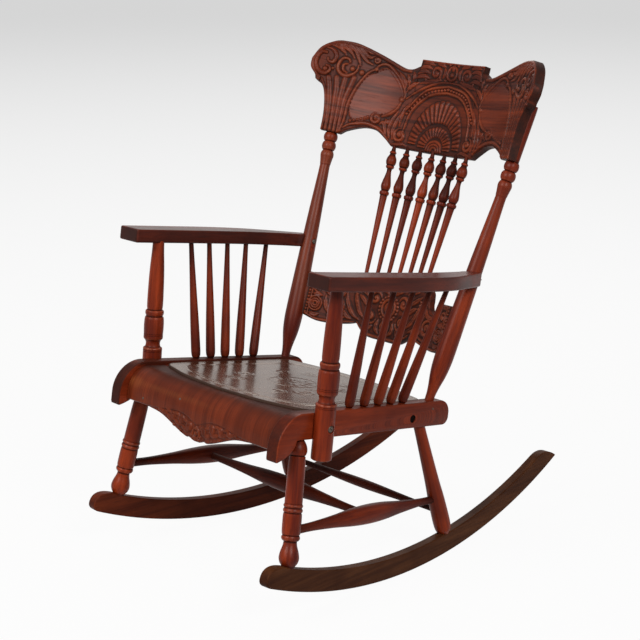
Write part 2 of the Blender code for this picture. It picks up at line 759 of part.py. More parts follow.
def make_stretchers(front_legs, rear_legs):
    """Two side stretchers, a cross stretcher between them and one between the rear legs."""
    sides = {}
    for side in SIDES:
        front = front_legs[side]
        rear = rear_legs[side]
        sides[side] = make_stretcher(
            f"side_stretcher_{side}", front.at(SIDE_STRETCHER_FRONT), rear.at(SIDE_STRETCHER_REAR),
            FRONT_LEG_RADIUS, (SIDE_STRETCHER_FRONT_END, SIDE_STRETCHER_REAR_END), SIDE_STRETCHER_RADIUS,
            (front.item, rear.item))
    middles = [sides[side].at(sides[side].length * CROSS_STRETCHER_SHARE) for side in SIDES]
    make_stretcher("cross_stretcher", *middles, SIDE_STRETCHER_RADIUS, (CROSS_STRETCHER_END,) * 2,
                   CROSS_STRETCHER_RADIUS, [sides[side].item for side in SIDES])
    lows = [rear_legs[side].at(REAR_STRETCHER_HEIGHT) for side in SIDES]
    make_stretcher("rear_stretcher", *lows, REAR_LEG_RADIUS, (REAR_STRETCHER_END,) * 2,
                   REAR_STRETCHER_RADIUS, [rear_legs[side].item for side in SIDES])


# Back posts

def back_post_foot(sign):
    """Where a back post leaves the top of its rail."""
    return seat_point(sign * socket_x(BACK_POST_L), BACK_POST_L, 0)


def back_post_crown(sign):
    """Point of a back post's axis at the lower end of the crest's leg, a little behind its rear face."""
    middle = (CREST_LEG_INNER + CREST_LEG_OUTER) / 2
    return mirrored(back_point(middle, CREST_LEG_END, CREST_THICKNESS + BACK_POST_BEHIND), sign)


def make_back_post(side, sign, rail):
    """Turned back post: slim foot, swelling, taper, beads, and a tang that lies behind the crest."""
    foot = back_post_foot(sign)
    crown = back_post_crown(sign)
    rise = (crown - foot).length
    full = BACK_POST_RADIUS
    neck = BACK_POST_NECK_RADIUS
    bead = BACK_POST_BEAD_RADIUS
    beads = rise - BACK_POST_BEADS * BACK_POST_BEAD
    profile = [
        (-BACK_POST_TENON, BACK_POST_TENON_RADIUS), (0.008, BACK_POST_TENON_RADIUS),
        (0.030, full * 0.62), (0.055, full * 0.86), (0.080, full * 0.98), (0.100, full),
        (0.150, full * 0.96), ((0.150 + beads) / 2, (full + neck) / 2), (beads - 0.006, neck)]
    for count in range(BACK_POST_BEADS):
        low = beads + count * BACK_POST_BEAD
        profile += [(low, neck), (low + BACK_POST_BEAD * 0.18, bead * 0.90), (low + BACK_POST_BEAD * 0.45, bead),
                    (low + BACK_POST_BEAD * 0.75, bead * 0.92)]
    profile += [(rise, neck), (rise + BACK_POST_TANG, neck)]
    post = Turning(f"back_post_{side}", foot, crown, profile, POST_SIDES)
    post.seat_in(rail, -rise, rise / 8)
    lap = [(-CREST_EAR, CREST_LEG_END - CLEARANCE), (CREST_EAR, CREST_LEG_END - CLEARANCE),
           (CREST_EAR, CREST_EAR_TOP), (-CREST_EAR, CREST_EAR_TOP)]
    tool = add_cutter(f"crest_lap_{side}", bent_mesh(
        f"crest_lap_{side}", lap, -CREST_THICKNESS, CREST_THICKNESS + CLEARANCE, CUTTER_STATION))
    cut(post.item, tool)
    return post


# Crest rail

def crest_outline():
    """Bent crest: arched between its legs, scrolled ears, dips beside a flat middle block."""
    leg_mid = (CREST_LEG_INNER + CREST_LEG_OUTER) / 2
    arch_rise = CREST_ARCH_TOP - CREST_BOTTOM
    arch_span = CREST_LEG_INNER - CREST_LOW_CORNER
    half = through([
        (CREST_LOW_CORNER, CREST_BOTTOM),
        (CREST_LOW_CORNER + arch_span * 0.17, CREST_BOTTOM + arch_rise * 0.53),
        (CREST_LOW_CORNER + arch_span * 0.36, CREST_ARCH_TOP - arch_rise * 0.04),
        (CREST_LOW_CORNER + arch_span * 0.60, CREST_ARCH_TOP),
        (CREST_LOW_CORNER + arch_span * 0.88, CREST_BOTTOM + arch_rise * 0.53),
        (CREST_LEG_INNER, CREST_LEG_END)], 2)
    ear_out = CREST_EAR - CREST_LEG_OUTER
    half += through([
        (CREST_LEG_OUTER, CREST_LEG_END),
        (CREST_LEG_OUTER + ear_out * 0.03, CREST_NECK * 0.28),
        (CREST_LEG_OUTER + ear_out * 0.17, CREST_NECK * 0.66),
        (CREST_LEG_OUTER + ear_out * 0.35, CREST_NECK * 0.89),
        (CREST_LEG_OUTER + ear_out * 0.60, CREST_NECK)], 2)
    ear_rise = CREST_EAR_TOP - CREST_EAR_MIDDLE
    slope = CREST_EAR_TOP - CREST_DIP
    run = leg_mid - CREST_BLOCK_HALF
    half += through([
        (CREST_LEG_OUTER + ear_out * 0.70, CREST_NECK + (CREST_EAR_MIDDLE - CREST_NECK) * 0.3),
        (CREST_EAR - ear_out * 0.03, CREST_EAR_MIDDLE - ear_rise * 0.12),
        (CREST_EAR, CREST_EAR_MIDDLE + ear_rise * 0.18),
        (CREST_EAR - ear_out * 0.27, CREST_EAR_MIDDLE + ear_rise * 0.63),
        (CREST_LEG_OUTER + ear_out * 0.22, CREST_EAR_TOP - ear_rise * 0.07),
        (leg_mid + run * 0.04, CREST_EAR_TOP),
        (leg_mid - run * 0.13, CREST_EAR_TOP - slope * 0.04),
        (leg_mid - run * 0.46, CREST_EAR_TOP - slope * 0.47),
        (leg_mid - run * 0.76, CREST_DIP + slope * 0.03),
        (CREST_BLOCK_HALF + run * 0.12, CREST_DIP),
        (CREST_BLOCK_HALF, CREST_DIP + (CREST_BLOCK_TOP - CREST_DIP) * 0.42)], 3)
    half.append((CREST_BLOCK_HALF, CREST_BLOCK_TOP))
    return half + [(-s, v) for s, v in reversed(half)]


def make_crest():
    """Bent crest rail."""
    item = add_part("crest_rail", bent_mesh("crest_rail", crest_outline(), 0, CREST_THICKNESS))
    round_edges(item)
    return item


# Splat

SPLAT_FRONT = -SPLAT_FORWARD
SPLAT_REAR = SPLAT_THICKNESS - SPLAT_FORWARD
SPLAT_MIDDLE = SPLAT_THICKNESS / 2 - SPLAT_FORWARD


def splat_end(v, post):
    """Arc length of the splat's end at a height, housed in the inner side of the post."""
    low = back_place(post.at(0))
    high = back_place(post.at(post.length))
    share = (v - low[1]) / (high[1] - low[1])
    axis = low[0] + (high[0] - low[0]) * share
    return axis - post.radius_at(post.length * share) + SPLAT_HOUSING


def splat_outline(post):
    """Raised middle for the spindles, round notches, shoulders, and a scalloped lower edge."""
    low = SPLAT_BOTTOM
    end_top = splat_end(SPLAT_SHOULDER, post)
    end_low = splat_end(low, post)
    notch = SPLAT_CENTRE_HALF + SPLAT_NOTCH_DEPTH * 1.2
    half = through([
        (0.0, low), (end_low * 0.19, low + SPLAT_SCALLOP * 0.04), (end_low * 0.29, low + SPLAT_SCALLOP * 0.42),
        (end_low * 0.36, low + SPLAT_SCALLOP)], 2)
    half += through([
        (end_low * 0.38, low + SPLAT_SCALLOP), (end_low * 0.48, low + SPLAT_SCALLOP * 0.70),
        (end_low * 0.66, low + SPLAT_SCALLOP * 0.37), (end_low * 0.83, low + SPLAT_SCALLOP * 0.25),
        (end_low, low + SPLAT_SCALLOP * 0.55)], 2)
    half.append((end_top, SPLAT_SHOULDER))
    half += arc((notch, SPLAT_SHOULDER), SPLAT_NOTCH_DEPTH, 0, -math.pi, 8)
    half += swept(
        (notch - SPLAT_NOTCH_DEPTH * 1.1, SPLAT_SHOULDER + SPLAT_NOTCH_DEPTH * 0.4), (SPLAT_CENTRE_HALF, SPLAT_TOP),
        (SPLAT_CENTRE_HALF - SPLAT_NOTCH_DEPTH / 2, SPLAT_TOP))
    return half + [(-s, v) for s, v in reversed(half)]


def make_splat(posts):
    """Bent splat housed in the inner sides of the back posts."""
    outline = splat_outline(posts["right"])
    item = add_part("back_splat", bent_mesh("back_splat", outline, SPLAT_FRONT, SPLAT_REAR))
    round_edges(item)
    return item


def house_splat(posts):
    """Cut the housings for the splat's ends in the posts."""
    for side, sign in SIDES.items():
        post = posts[side]
        low = SPLAT_BOTTOM - CLEARANCE
        high = SPLAT_SHOULDER + CLEARANCE
        ends = [splat_end(v, posts["right"]) + CLEARANCE for v in (low, high)]
        inner = ends[0] - 3 * BACK_POST_RADIUS
        outline = [(inner, low), (ends[0], low), (ends[1], high), (inner, high)]
        name = f"splat_housing_{side}"
        tool = add_cutter(name, bent_mesh(
            name, [(sign * s, v) for s, v in outline], SPLAT_FRONT - CLEARANCE, SPLAT_REAR + CLEARANCE,
            CUTTER_STATION))
        cut(post.item, tool)


# Back spindles

def make_back_spindles(crest, splat):
    """Row of turned spindles between splat and crest: neck, acorn, vase, collar and tapered shaft."""
    full = BACK_SPINDLE_RADIUS
    middle = (BACK_SPINDLE_COUNT - 1) / 2
    for count in range(BACK_SPINDLE_COUNT):
        place = count - middle
        foot = back_point(place * BACK_SPINDLE_FOOT_PITCH, SPLAT_TOP, SPLAT_MIDDLE)
        top = back_point(place * BACK_SPINDLE_TOP_PITCH, CREST_BOTTOM, BACK_SPINDLE_DEPTH)
        rise = (top - foot).length
        profile = [
            (-BACK_SPINDLE_TENON, BACK_SPINDLE_FOOT_RADIUS), (0.004, BACK_SPINDLE_FOOT_RADIUS),
            (rise - 0.107, full * 0.80), (rise - 0.105, full), (rise - 0.100, full),
            (rise - 0.097, full * 0.80), (rise - 0.088, full * 1.04), (rise - 0.070, full * 0.74),
            (rise - 0.055, full * 0.52), (rise - 0.047, full * 0.62), (rise - 0.044, full * 0.86),
            (rise - 0.036, full * 0.95), (rise - 0.029, full * 1.04), (rise - 0.020, full * 0.84),
            (rise - 0.014, full * 0.56), (rise - 0.010, full * 0.64), (rise - 0.002, full * 0.44),
            (rise, BACK_SPINDLE_NECK_RADIUS), (rise + BACK_SPINDLE_TENON, BACK_SPINDLE_NECK_RADIUS)]
        spindle = Turning(f"back_spindle_{count + 1}", foot, top, profile, SPINDLE_SIDES)
        spindle.seat_in(splat, -rise, rise / 4)
        spindle.seat_in(crest, rise * 3 / 4, 2 * rise)


# Arms

ARM_UNDERSIDE = ARM_TOP - ARM_THICKNESS


def arm_crossing(post):
    """Place of a back post's axis in the middle of the arm's thickness, in the seat frame."""
    inverse = SEAT_FRAME.inverted()
    start = inverse @ post.start
    along = inverse.to_3x3() @ post.axis
    return start + along * ((ARM_TOP - ARM_THICKNESS / 2 - start.z) / along.z)


def arm_outline(post):
    """Right arm in plan: square front, swelling outer edge, rear end drawn in beside the back post."""
    crossing = arm_crossing(post)
    inner = ARM_LINE - ARM_INNER_MARGIN
    outer = ARM_LINE + ARM_OUTER_MARGIN
    end = crossing.y
    run = end - ARM_FRONT
    outline = through([
        (outer - ARM_SWELL, ARM_FRONT), (outer, ARM_FRONT + run * 0.25), (outer + ARM_SWELL, ARM_FRONT + run * 0.5),
        (outer - ARM_SWELL, ARM_FRONT + run * 0.72), (crossing.x + ARM_END_WIDTH * 1.7, ARM_FRONT + run * 0.90),
        (crossing.x + ARM_END_WIDTH, end)])
    outline += through([
        (crossing.x, end), (crossing.x, ARM_FRONT + run * 0.93), (inner - ARM_SWELL, ARM_FRONT + run * 0.86),
        (inner + ARM_SWELL, ARM_FRONT + run * 0.66), (inner + ARM_SWELL, ARM_FRONT + run * 0.40),
        (inner, ARM_FRONT)])
    return outline


def make_arm(side, sign, posts):
    """One arm, scooped round its back post."""
    outline = [(sign * x, l) for x, l in arm_outline(posts["right"])]
    placement = SEAT_FRAME @ Matrix.Translation((0, 0, ARM_TOP - ARM_THICKNESS / 2))
    item = add_board(f"arm_{side}", outline, ARM_THICKNESS, placement)
    post = posts[side]
    post.seat_in(item, post.length / 8, post.length * 3 / 4)
    return item


def make_arm_post(side, sign, rail, arm):
    """Turned arm post, notched over the outside of the rail and hanging below it."""
    outside = rail_x(ARM_POST_L) + RAIL_THICKNESS / 2 / math.cos(RAIL_TOE_IN)
    seat = Vector((outside + ARM_POST_RADIUS - ARM_POST_NOTCH, ARM_POST_L, 0))
    head = Vector((ARM_LINE, ARM_POST_TOP_L, ARM_UNDERSIDE))
    foot = seat + (seat - head) * (ARM_POST_HANG / ARM_UNDERSIDE)
    start = seat_point(sign * foot.x, foot.y, foot.z)
    end = seat_point(sign * head.x, head.y, head.z)
    rise = (end - start).length
    full = ARM_POST_RADIUS
    rail_top = rise * ARM_POST_HANG / (ARM_POST_HANG + ARM_UNDERSIDE)
    profile = [
        (0, full * 0.88), (0.003, full), (rail_top + 0.015, full), (rail_top + 0.020, full * 0.97),
        (rail_top + 0.025, full * 0.76), (rail_top + 0.033, full * 0.76), (rail_top + 0.042, full * 0.98),
        (rail_top + 0.066, full * 1.02), (rail_top + 0.084, full * 0.98), (rail_top + 0.088, full * 0.86),
        (rail_top + 0.092, full * 0.94), (rail_top + 0.098, full * 0.94), (rail_top + 0.101, full * 0.80),
        (rail_top + 0.110, full * 0.83), (rail_top + 0.180, full * 0.76), (rise, full * 0.60),
        (rise, ARM_POST_TENON_RADIUS), (rise + ARM_POST_TENON, ARM_POST_TENON_RADIUS)]
    post = Turning(f"arm_post_{side}", start, end, profile, POST_SIDES)
    post.seat_in(arm, rise * 3 / 4, 2 * rise)
    half = RAIL_THICKNESS / 2 + CLEARANCE
    notch = box_cutter(
        f"rail_notch_{side}", (-half, -RAIL_HEIGHT - SCROLL_RADIUS, -RAIL_HEIGHT - CLEARANCE),
        (half, RAIL_HEIGHT, CLEARANCE), rail_frame(sign))
    cut(post.item, notch)
    return post


def make_arm_spindles(side, sign, rail, arm):
    """Five plain tapered spindles fanned between rail and arm."""
    full = ARM_SPINDLE_RADIUS
    slim = ARM_SPINDLE_TENON_RADIUS
    for count, (foot_share, top_share) in enumerate(ARM_SPINDLE_FANS[side]):
        foot_l = ARM_SPINDLE_FOOT + ARM_SPINDLE_FOOT_RUN * foot_share
        top_l = ARM_SPINDLE_TOP + ARM_SPINDLE_TOP_RUN * top_share
        foot = seat_point(sign * rail_x(foot_l), foot_l, 0)
        top = seat_point(sign * ARM_SPINDLE_LINE, top_l, ARM_UNDERSIDE)
        rise = (top - foot).length
        profile = [
            (-ARM_SPINDLE_TENON, slim), (0.0015, slim), (0.0015, full * 0.70), (0.006, full * 0.92),
            (0.020, full), (rise / 2, full * 0.80), (rise - 0.004, slim), (rise + ARM_SPINDLE_TENON, slim)]
        spindle = Turning(f"arm_spindle_{side}_{count + 1}", foot, top, profile, SPINDLE_SIDES)
        spindle.seat_in(rail, -rise, rise / 4)
        spindle.seat_in(arm, rise * 3 / 4, 2 * rise)


# Screws

def make_screw(name, seat, along, hosts):
    """Round headed screw in a sunk seat, through its hosts."""
    profile = [
        (-SCREW_HEAD_HEIGHT, SCREW_HEAD_RADIUS * 0.6), (-SCREW_HEAD_HEIGHT * 0.3, SCREW_HEAD_RADIUS),
        (0, SCREW_HEAD_RADIUS), (0, SCREW_RADIUS), (SCREW_LENGTH * 0.8, SCREW_RADIUS),
        (SCREW_LENGTH, SCREW_RADIUS / 3)]
    screw = Turning(name, seat, seat + along, profile, STRETCHER_SIDES, "steel")
    wide = SCREW_HEAD_RADIUS + CLEARANCE
    thin = SCREW_RADIUS + CLEARANCE
    for host in hosts:
        cut(host, screw.cutter(f"{host.name}_for_{name}", [
            (-SCREW_LENGTH, wide), (CLEARANCE, wide), (CLEARANCE, thin), (SCREW_LENGTH + CLEARANCE, thin)]))


def make_screws(arm_posts, back_posts, rails, arms):
    """One screw through each arm post into its rail, and one through each back post into its arm."""
    for side, sign in SIDES.items():
        inward = (rail_frame(sign).to_3x3() @ Vector((-sign, 0, 0))).normalized()
        post = arm_posts[side]
        middle = post.at(post.length * (ARM_POST_HANG - RAIL_HEIGHT / 2) / (ARM_POST_HANG + ARM_UNDERSIDE))
        seat = middle - inward * (ARM_POST_RADIUS - SCREW_SINK)
        make_screw(f"arm_post_screw_{side}", seat, inward, (post.item, rails[side]))
        back = back_posts[side]
        axis = SEAT_FRAME @ arm_crossing(back)
        outward = (SEAT_FRAME.to_3x3() @ Vector((sign, 0, 0))).normalized()
        radius = back.radius_at((axis - back.start).length)
        seat = axis - outward * (radius - SCREW_SINK)
        make_screw(f"arm_screw_{side}", seat, outward, (back.item, arms[side]))


def make_chair():
    """Build every piece, from the floor up."""
    rockers = {side: make_rocker(side, sign) for side, sign in SIDES.items()}
    rails = {side: make_rail(side, sign) for side, sign in SIDES.items()}
    front_legs = {side: make_front_leg(side, sign, rockers[side], rails[side]) for side, sign in SIDES.items()}
    rear_legs = {side: make_rear_leg(side, sign, rockers[side], rails[side]) for side, sign in SIDES.items()}
    make_stretchers(front_legs, rear_legs)
    make_front_roll()
    make_panel()
    make_cross_rail("front_seat_rail", FRONT_CROSS_RAIL)
    make_cross_rail("rear_seat_rail", REAR_CROSS_RAIL)
    back_posts = {side: make_back_post(side, sign, rails[side]) for side, sign in SIDES.items()}
    crest = make_crest()
    splat = make_splat(back_posts)
    house_splat(back_posts)
    make_back_spindles(crest, splat)
    arms = {side: make_arm(side, sign, back_posts) for side, sign in SIDES.items()}
    arm_posts = {side: make_arm_post(side, sign, rails[side], arms[side]) for side, sign in SIDES.items()}
    for side, sign in SIDES.items():
        make_arm_spindles(side, sign, rails[side], arms[side])
    make_screws(arm_posts, back_posts, rails, arms)


make_chair()
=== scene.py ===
"""Dressed model of a pressed back rocking chair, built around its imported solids.

Every turned, sawn, bent and carved piece is modelled again here with its full curves, its pressed
ornament and its finish. Lengths are metres, except in the carvings, which are drawn in millimetres.
"""
from __future__ import annotations

import logging
import math
from dataclasses import dataclass, field, replace
from enum import Enum
from typing import Callable, Sequence

import bpy
import numpy as np
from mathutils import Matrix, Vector


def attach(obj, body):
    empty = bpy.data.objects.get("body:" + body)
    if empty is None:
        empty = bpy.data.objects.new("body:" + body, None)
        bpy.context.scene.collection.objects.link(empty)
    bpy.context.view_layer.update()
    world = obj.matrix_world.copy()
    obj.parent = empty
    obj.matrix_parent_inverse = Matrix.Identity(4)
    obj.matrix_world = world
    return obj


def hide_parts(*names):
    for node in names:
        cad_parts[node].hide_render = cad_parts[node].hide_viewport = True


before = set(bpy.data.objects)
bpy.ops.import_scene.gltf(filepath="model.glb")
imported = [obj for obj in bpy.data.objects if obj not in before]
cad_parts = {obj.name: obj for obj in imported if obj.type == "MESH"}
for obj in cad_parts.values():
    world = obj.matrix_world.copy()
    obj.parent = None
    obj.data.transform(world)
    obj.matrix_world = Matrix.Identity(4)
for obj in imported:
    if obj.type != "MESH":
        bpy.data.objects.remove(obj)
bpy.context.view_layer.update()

LOG = logging.getLogger("rocking_chair")
Points = np.ndarray
Pair = tuple[float, float]
Path = Sequence[Pair]
Triple = tuple[float, float, float]
Colour = Triple
FaceRule = Callable[[Points, Points], Points]
SolidRule = Callable[[Points, Points, Points], Points]
Piece = bpy.types.Object
Material = bpy.types.Material
SIDES = {"left": -1.0, "right": 1.0}
REARWARD = (0.987, -0.163)  # y and z of the seat's slope, which the sawn ends face


class Slot(Enum):
    """Material slots of the record."""

    WOOD = "varnished_wood"
    SEAT = "embossed_seat"
    STEEL = "screw_steel"


# Curves


def through(points: Path, steps: int = 8) -> Points:
    """Smooth run through points.

    Args:
        points: Places the run passes through.
        steps: Samples between two places.

    Returns:
        Sampled run, ends included.
    """
    p = np.asarray(points, float)
    p = np.vstack([2 * p[0] - p[1], p, 2 * p[-1] - p[-2]])
    t = (np.arange(steps) / steps)[:, None]
    runs = []
    for a, b, c, d in zip(p, p[1:], p[2:], p[3:]):
        runs.append(0.5 * (2 * b + (c - a) * t + (2 * a - 5 * b + 4 * c - d) * t * t
                           + (3 * b - a - 3 * c + d) * t ** 3))
    return np.vstack(runs + [p[-2][None]])


def swept(start: Sequence[float], corner: Sequence[float], end: Sequence[float], steps: int = 12) -> Points:
    """Rounded corner from start to end, drawn towards a corner point.

    Args:
        start: First point.
        corner: Point the curve is drawn towards.
        end: Last point.
        steps: Number of spans.

    Returns:
        Sampled curve.
    """
    t = np.linspace(0, 1, steps + 1)[:, None]
    a, b, c = (np.asarray(q, float) for q in (start, corner, end))
    return (1 - t) ** 2 * a + 2 * t * (1 - t) * b + t * t * c


def arc(centre: Sequence[float], radius: float, start: float, end: float, steps: int = 12) -> Points:
    """Arc between two angles.

    Args:
        centre: Centre of the circle.
        radius: Radius of the circle.
        start: First angle, in radians.
        end: Last angle, in radians.
        steps: Number of spans.

    Returns:
        Sampled arc.
    """
    a = np.linspace(start, end, steps + 1)
    return np.column_stack([centre[0] + radius * np.cos(a), centre[1] + radius * np.sin(a)])


def spiral(centre: Sequence[float], radii: Pair, start: float, sweep: float) -> Path:
    """Places along a spiral.

    Args:
        centre: Middle of the spiral.
        radii: Radius at its first and at its last place.
        start: First angle, in degrees.
        sweep: Angle it turns through, in degrees, negative for clockwise.

    Returns:
        Places, about one every 30 degrees.
    """
    count = max(int(abs(sweep) / 30), 2) + 1
    places = []
    for share in np.linspace(0, 1, count):
        turn = math.radians(start + sweep * share)
        radius = radii[0] + (radii[1] - radii[0]) * share
        places.append((centre[0] + radius * math.cos(turn), centre[1] + radius * math.sin(turn)))
    return places


def run_length(run: Points) -> Points:
    """Distance of each place of a run from its start."""
    return np.concatenate([[0], np.cumsum(np.linalg.norm(np.diff(run, axis=0), axis=1))])


def mirrored(half: Points) -> Points:
    """Stations on both sides of the middle, from those on one side."""
    return np.concatenate([-half[:0:-1], half])


def edge_at(x: Points, run: Points) -> Points:
    """Height of an edge at places across it, where the run that draws it may turn back."""
    keep = np.concatenate([[True], np.diff(np.maximum.accumulate(run[:, 0])) > 1e-7])
    return np.interp(x, run[keep, 0], run[keep, 1])


def span(start: Points, end: Points) -> float:
    """Distance between two points."""
    return float(np.linalg.norm(end - start))


def along(start: Points, end: Points, distance: float) -> Points:
    """Point on a line at a distance from its start."""
    way = end - start
    return start + way / np.linalg.norm(way) * distance


def standing(way: Points) -> Points:
    """Turn that stands an upright piece along a direction."""
    return np.array(Vector(way).to_track_quat("Z", "Y").to_matrix())


# Frames of the chair


@dataclass(frozen=True)
class SeatFrame:
    """Sloping frame of the seat: x across, l to the rear, h up from the top of the rails."""

    front: float = -0.248
    height: float = 0.388
    slope: float = math.radians(9.4)

    def place(self, x: Points, l: Points, h: Points) -> Points:
        """World places of points of the seat frame.

        Args:
            x: Across.
            l: Towards the rear.
            h: Above the rails.

        Returns:
            One row for each point.
        """
        c, s = math.cos(self.slope), math.sin(self.slope)
        x, l, h = np.broadcast_arrays(np.asarray(x, float), l, h)
        return np.column_stack([x.ravel(), self.front + l.ravel() * c + h.ravel() * s,
                                self.height - l.ravel() * s + h.ravel() * c])

    def local(self, points: Points) -> Points:
        """Seat frame places (x, l, h) of world points."""
        c, s = math.cos(self.slope), math.sin(self.slope)
        y, z = points[:, 1] - self.front, points[:, 2] - self.height
        return np.column_stack([points[:, 0], y * c - z * s, y * s + z * c])


@dataclass(frozen=True)
class BackFrame:
    """Leaning, bent frame of the back: s along the bend, v up the lean, d behind the front face."""

    rear: float = 0.2775
    height: float = 0.804
    lean: float = math.atan(0.366)
    bend: float = 0.510

    def place(self, s: Points, v: Points, d: Points) -> Points:
        """World places of points of the back frame.

        Args:
            s: Arc length from the middle.
            v: Up the lean.
            d: Depth behind the face.

        Returns:
            One row for each point.
        """
        s, v, d = (np.asarray(q, float).ravel() for q in np.broadcast_arrays(s, v, d))
        x = (self.bend + d) * np.sin(s / self.bend)
        w = (self.bend + d) * np.cos(s / self.bend) - self.bend
        c, k = math.cos(self.lean), math.sin(self.lean)
        return np.column_stack([x, self.rear + w * c + v * k, self.height - w * k + v * c])


SEAT = SeatFrame()
BACK = BackFrame()


# Modelling bench


class Bench:
    """Modelling operators, used on one piece at a time."""

    @staticmethod
    def clear() -> None:
        """Leave edit mode and deselect everything."""
        if bpy.context.object and bpy.context.object.mode != "OBJECT":
            bpy.ops.object.mode_set(mode="OBJECT")
        bpy.ops.object.select_all(action="DESELECT")

    @staticmethod
    def hold(item: Piece) -> None:
        """Select one piece alone and make it active."""
        Bench.clear()
        item.select_set(True)
        bpy.context.view_layer.objects.active = item

    @staticmethod
    def outward() -> None:
        """Turn all normals outward, in edit mode."""
        bpy.ops.mesh.select_all(action="SELECT")
        bpy.ops.mesh.normals_make_consistent(inside=False)

    @staticmethod
    def named(name: str) -> Piece:
        """Name the piece that was just added."""
        item = bpy.context.active_object
        item.name = name
        item.data.name = name
        return item

    @staticmethod
    def points(item: Piece) -> Points:
        """Places of a piece's vertices."""
        flat = np.empty(len(item.data.vertices) * 3, np.float32)
        item.data.vertices.foreach_get("co", flat)
        return flat.reshape(-1, 3).astype(float)

    @staticmethod
    def move(item: Piece, points: Points) -> None:
        """Put a piece's vertices in new places."""
        item.data.vertices.foreach_set("co", np.asarray(points, np.float32).ravel())
        item.data.update()

    @staticmethod
    def edit(item: Piece, *steps: Callable[[], object]) -> None:
        """Run edit mode operators on the whole of a piece.

        Args:
            item: Piece to work on.
            steps: Operators, run in order with everything selected first.
        """
        Bench.hold(item)
        bpy.ops.object.mode_set(mode="EDIT")
        bpy.ops.mesh.select_all(action="SELECT")
        for step in steps:
            step()
        bpy.ops.object.mode_set(mode="OBJECT")

    @staticmethod
    def modify(item: Piece, kind: str, **settings: object) -> None:
        """Add a modifier and apply it.

        Args:
            item: Piece to work on.
            kind: Type of the modifier.
            settings: Its values.
        """
        Bench.hold(item)
        modifier = item.modifiers.new(kind.lower(), kind)
        for key, value in settings.items():
            setattr(modifier, key, value)
        bpy.ops.object.modifier_apply(modifier=modifier.name)

    @staticmethod
    def smooth(item: Piece, degrees: float = 35.0) -> None:
        """Shade a piece smooth, apart from its sharp edges."""
        Bench.hold(item)
        bpy.ops.object.shade_smooth_by_angle(angle=math.radians(degrees))

    @staticmethod
    def mark(item: Piece, grain: Points, tone: Points | float = 0.0) -> None:
        """Store the run of the grain and the tone of wear, soiling and painted shade and highlights on a
        piece's vertices.

        Args:
            item: Piece to mark.
            grain: Place along the grain and the two places across it.
            tone: Below 0 for soiling and painted shade, above 0 for wear and painted highlights.
        """
        count = len(item.data.vertices)
        vector = item.data.attributes.new("grain", "FLOAT_VECTOR", "POINT")
        vector.data.foreach_set("vector", np.asarray(grain, np.float32).ravel())
        value = item.data.attributes.new("tone", "FLOAT", "POINT")
        value.data.foreach_set("value", np.broadcast_to(np.asarray(tone, np.float32), (count,)).copy())


def finish_piece(item: Piece, material: Material, slot: Slot, *nodes: str) -> None:
    """Dress a piece, tie it to the chair and let it stand for its solids.

    Args:
        item: Finished piece.
        material: Its finish.
        slot: Slot of the record; not used.
        nodes: Names of the solids it stands for.
    """
    item.data.materials.clear()
    item.data.materials.append(material)
    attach(item, "root")
    if nodes:
        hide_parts(*nodes)
    LOG.info("%s: %d faces", item.name, len(item.data.polygons))


# Shaders


class Wire:
    """A socket in a shader whose arithmetic adds Math nodes."""

    def __init__(self, graph: Graph, socket: bpy.types.NodeSocket) -> None:
        """Keep the socket and the graph it belongs to."""
        self.graph = graph
        self.socket = socket

    def maths(self, operation: str, *values: Wire | float) -> Wire:
        """Result of a Math node on these values."""
        return self.graph.node("Math", {"operation": operation}, dict(enumerate(values)))

    def __add__(self, other: Wire | float) -> Wire:
        """Sum of this socket and another value."""
        return self.maths("ADD", self, other)

    def __radd__(self, other: float) -> Wire:
        """Sum of a number and this socket."""
        return self.maths("ADD", other, self)

    def __sub__(self, other: Wire | float) -> Wire:
        """This socket less another value."""
        return self.maths("SUBTRACT", self, other)

    def __rsub__(self, other: float) -> Wire:
        """A number less this socket."""
        return self.maths("SUBTRACT", other, self)

    def __mul__(self, other: Wire | float) -> Wire:
        """Product of this socket and another value."""
        return self.maths("MULTIPLY", self, other)

    def __rmul__(self, other: float) -> Wire:
        """Product of a number and this socket."""
        return self.maths("MULTIPLY", other, self)

    def between(self, low: float, high: float) -> Wire:
        """Smooth step from 0 at low to 1 at high."""
        return self.graph.node("MapRange", {"interpolation_type": "SMOOTHSTEP"},
                               {"Value": self, "From Min": low, "From Max": high})


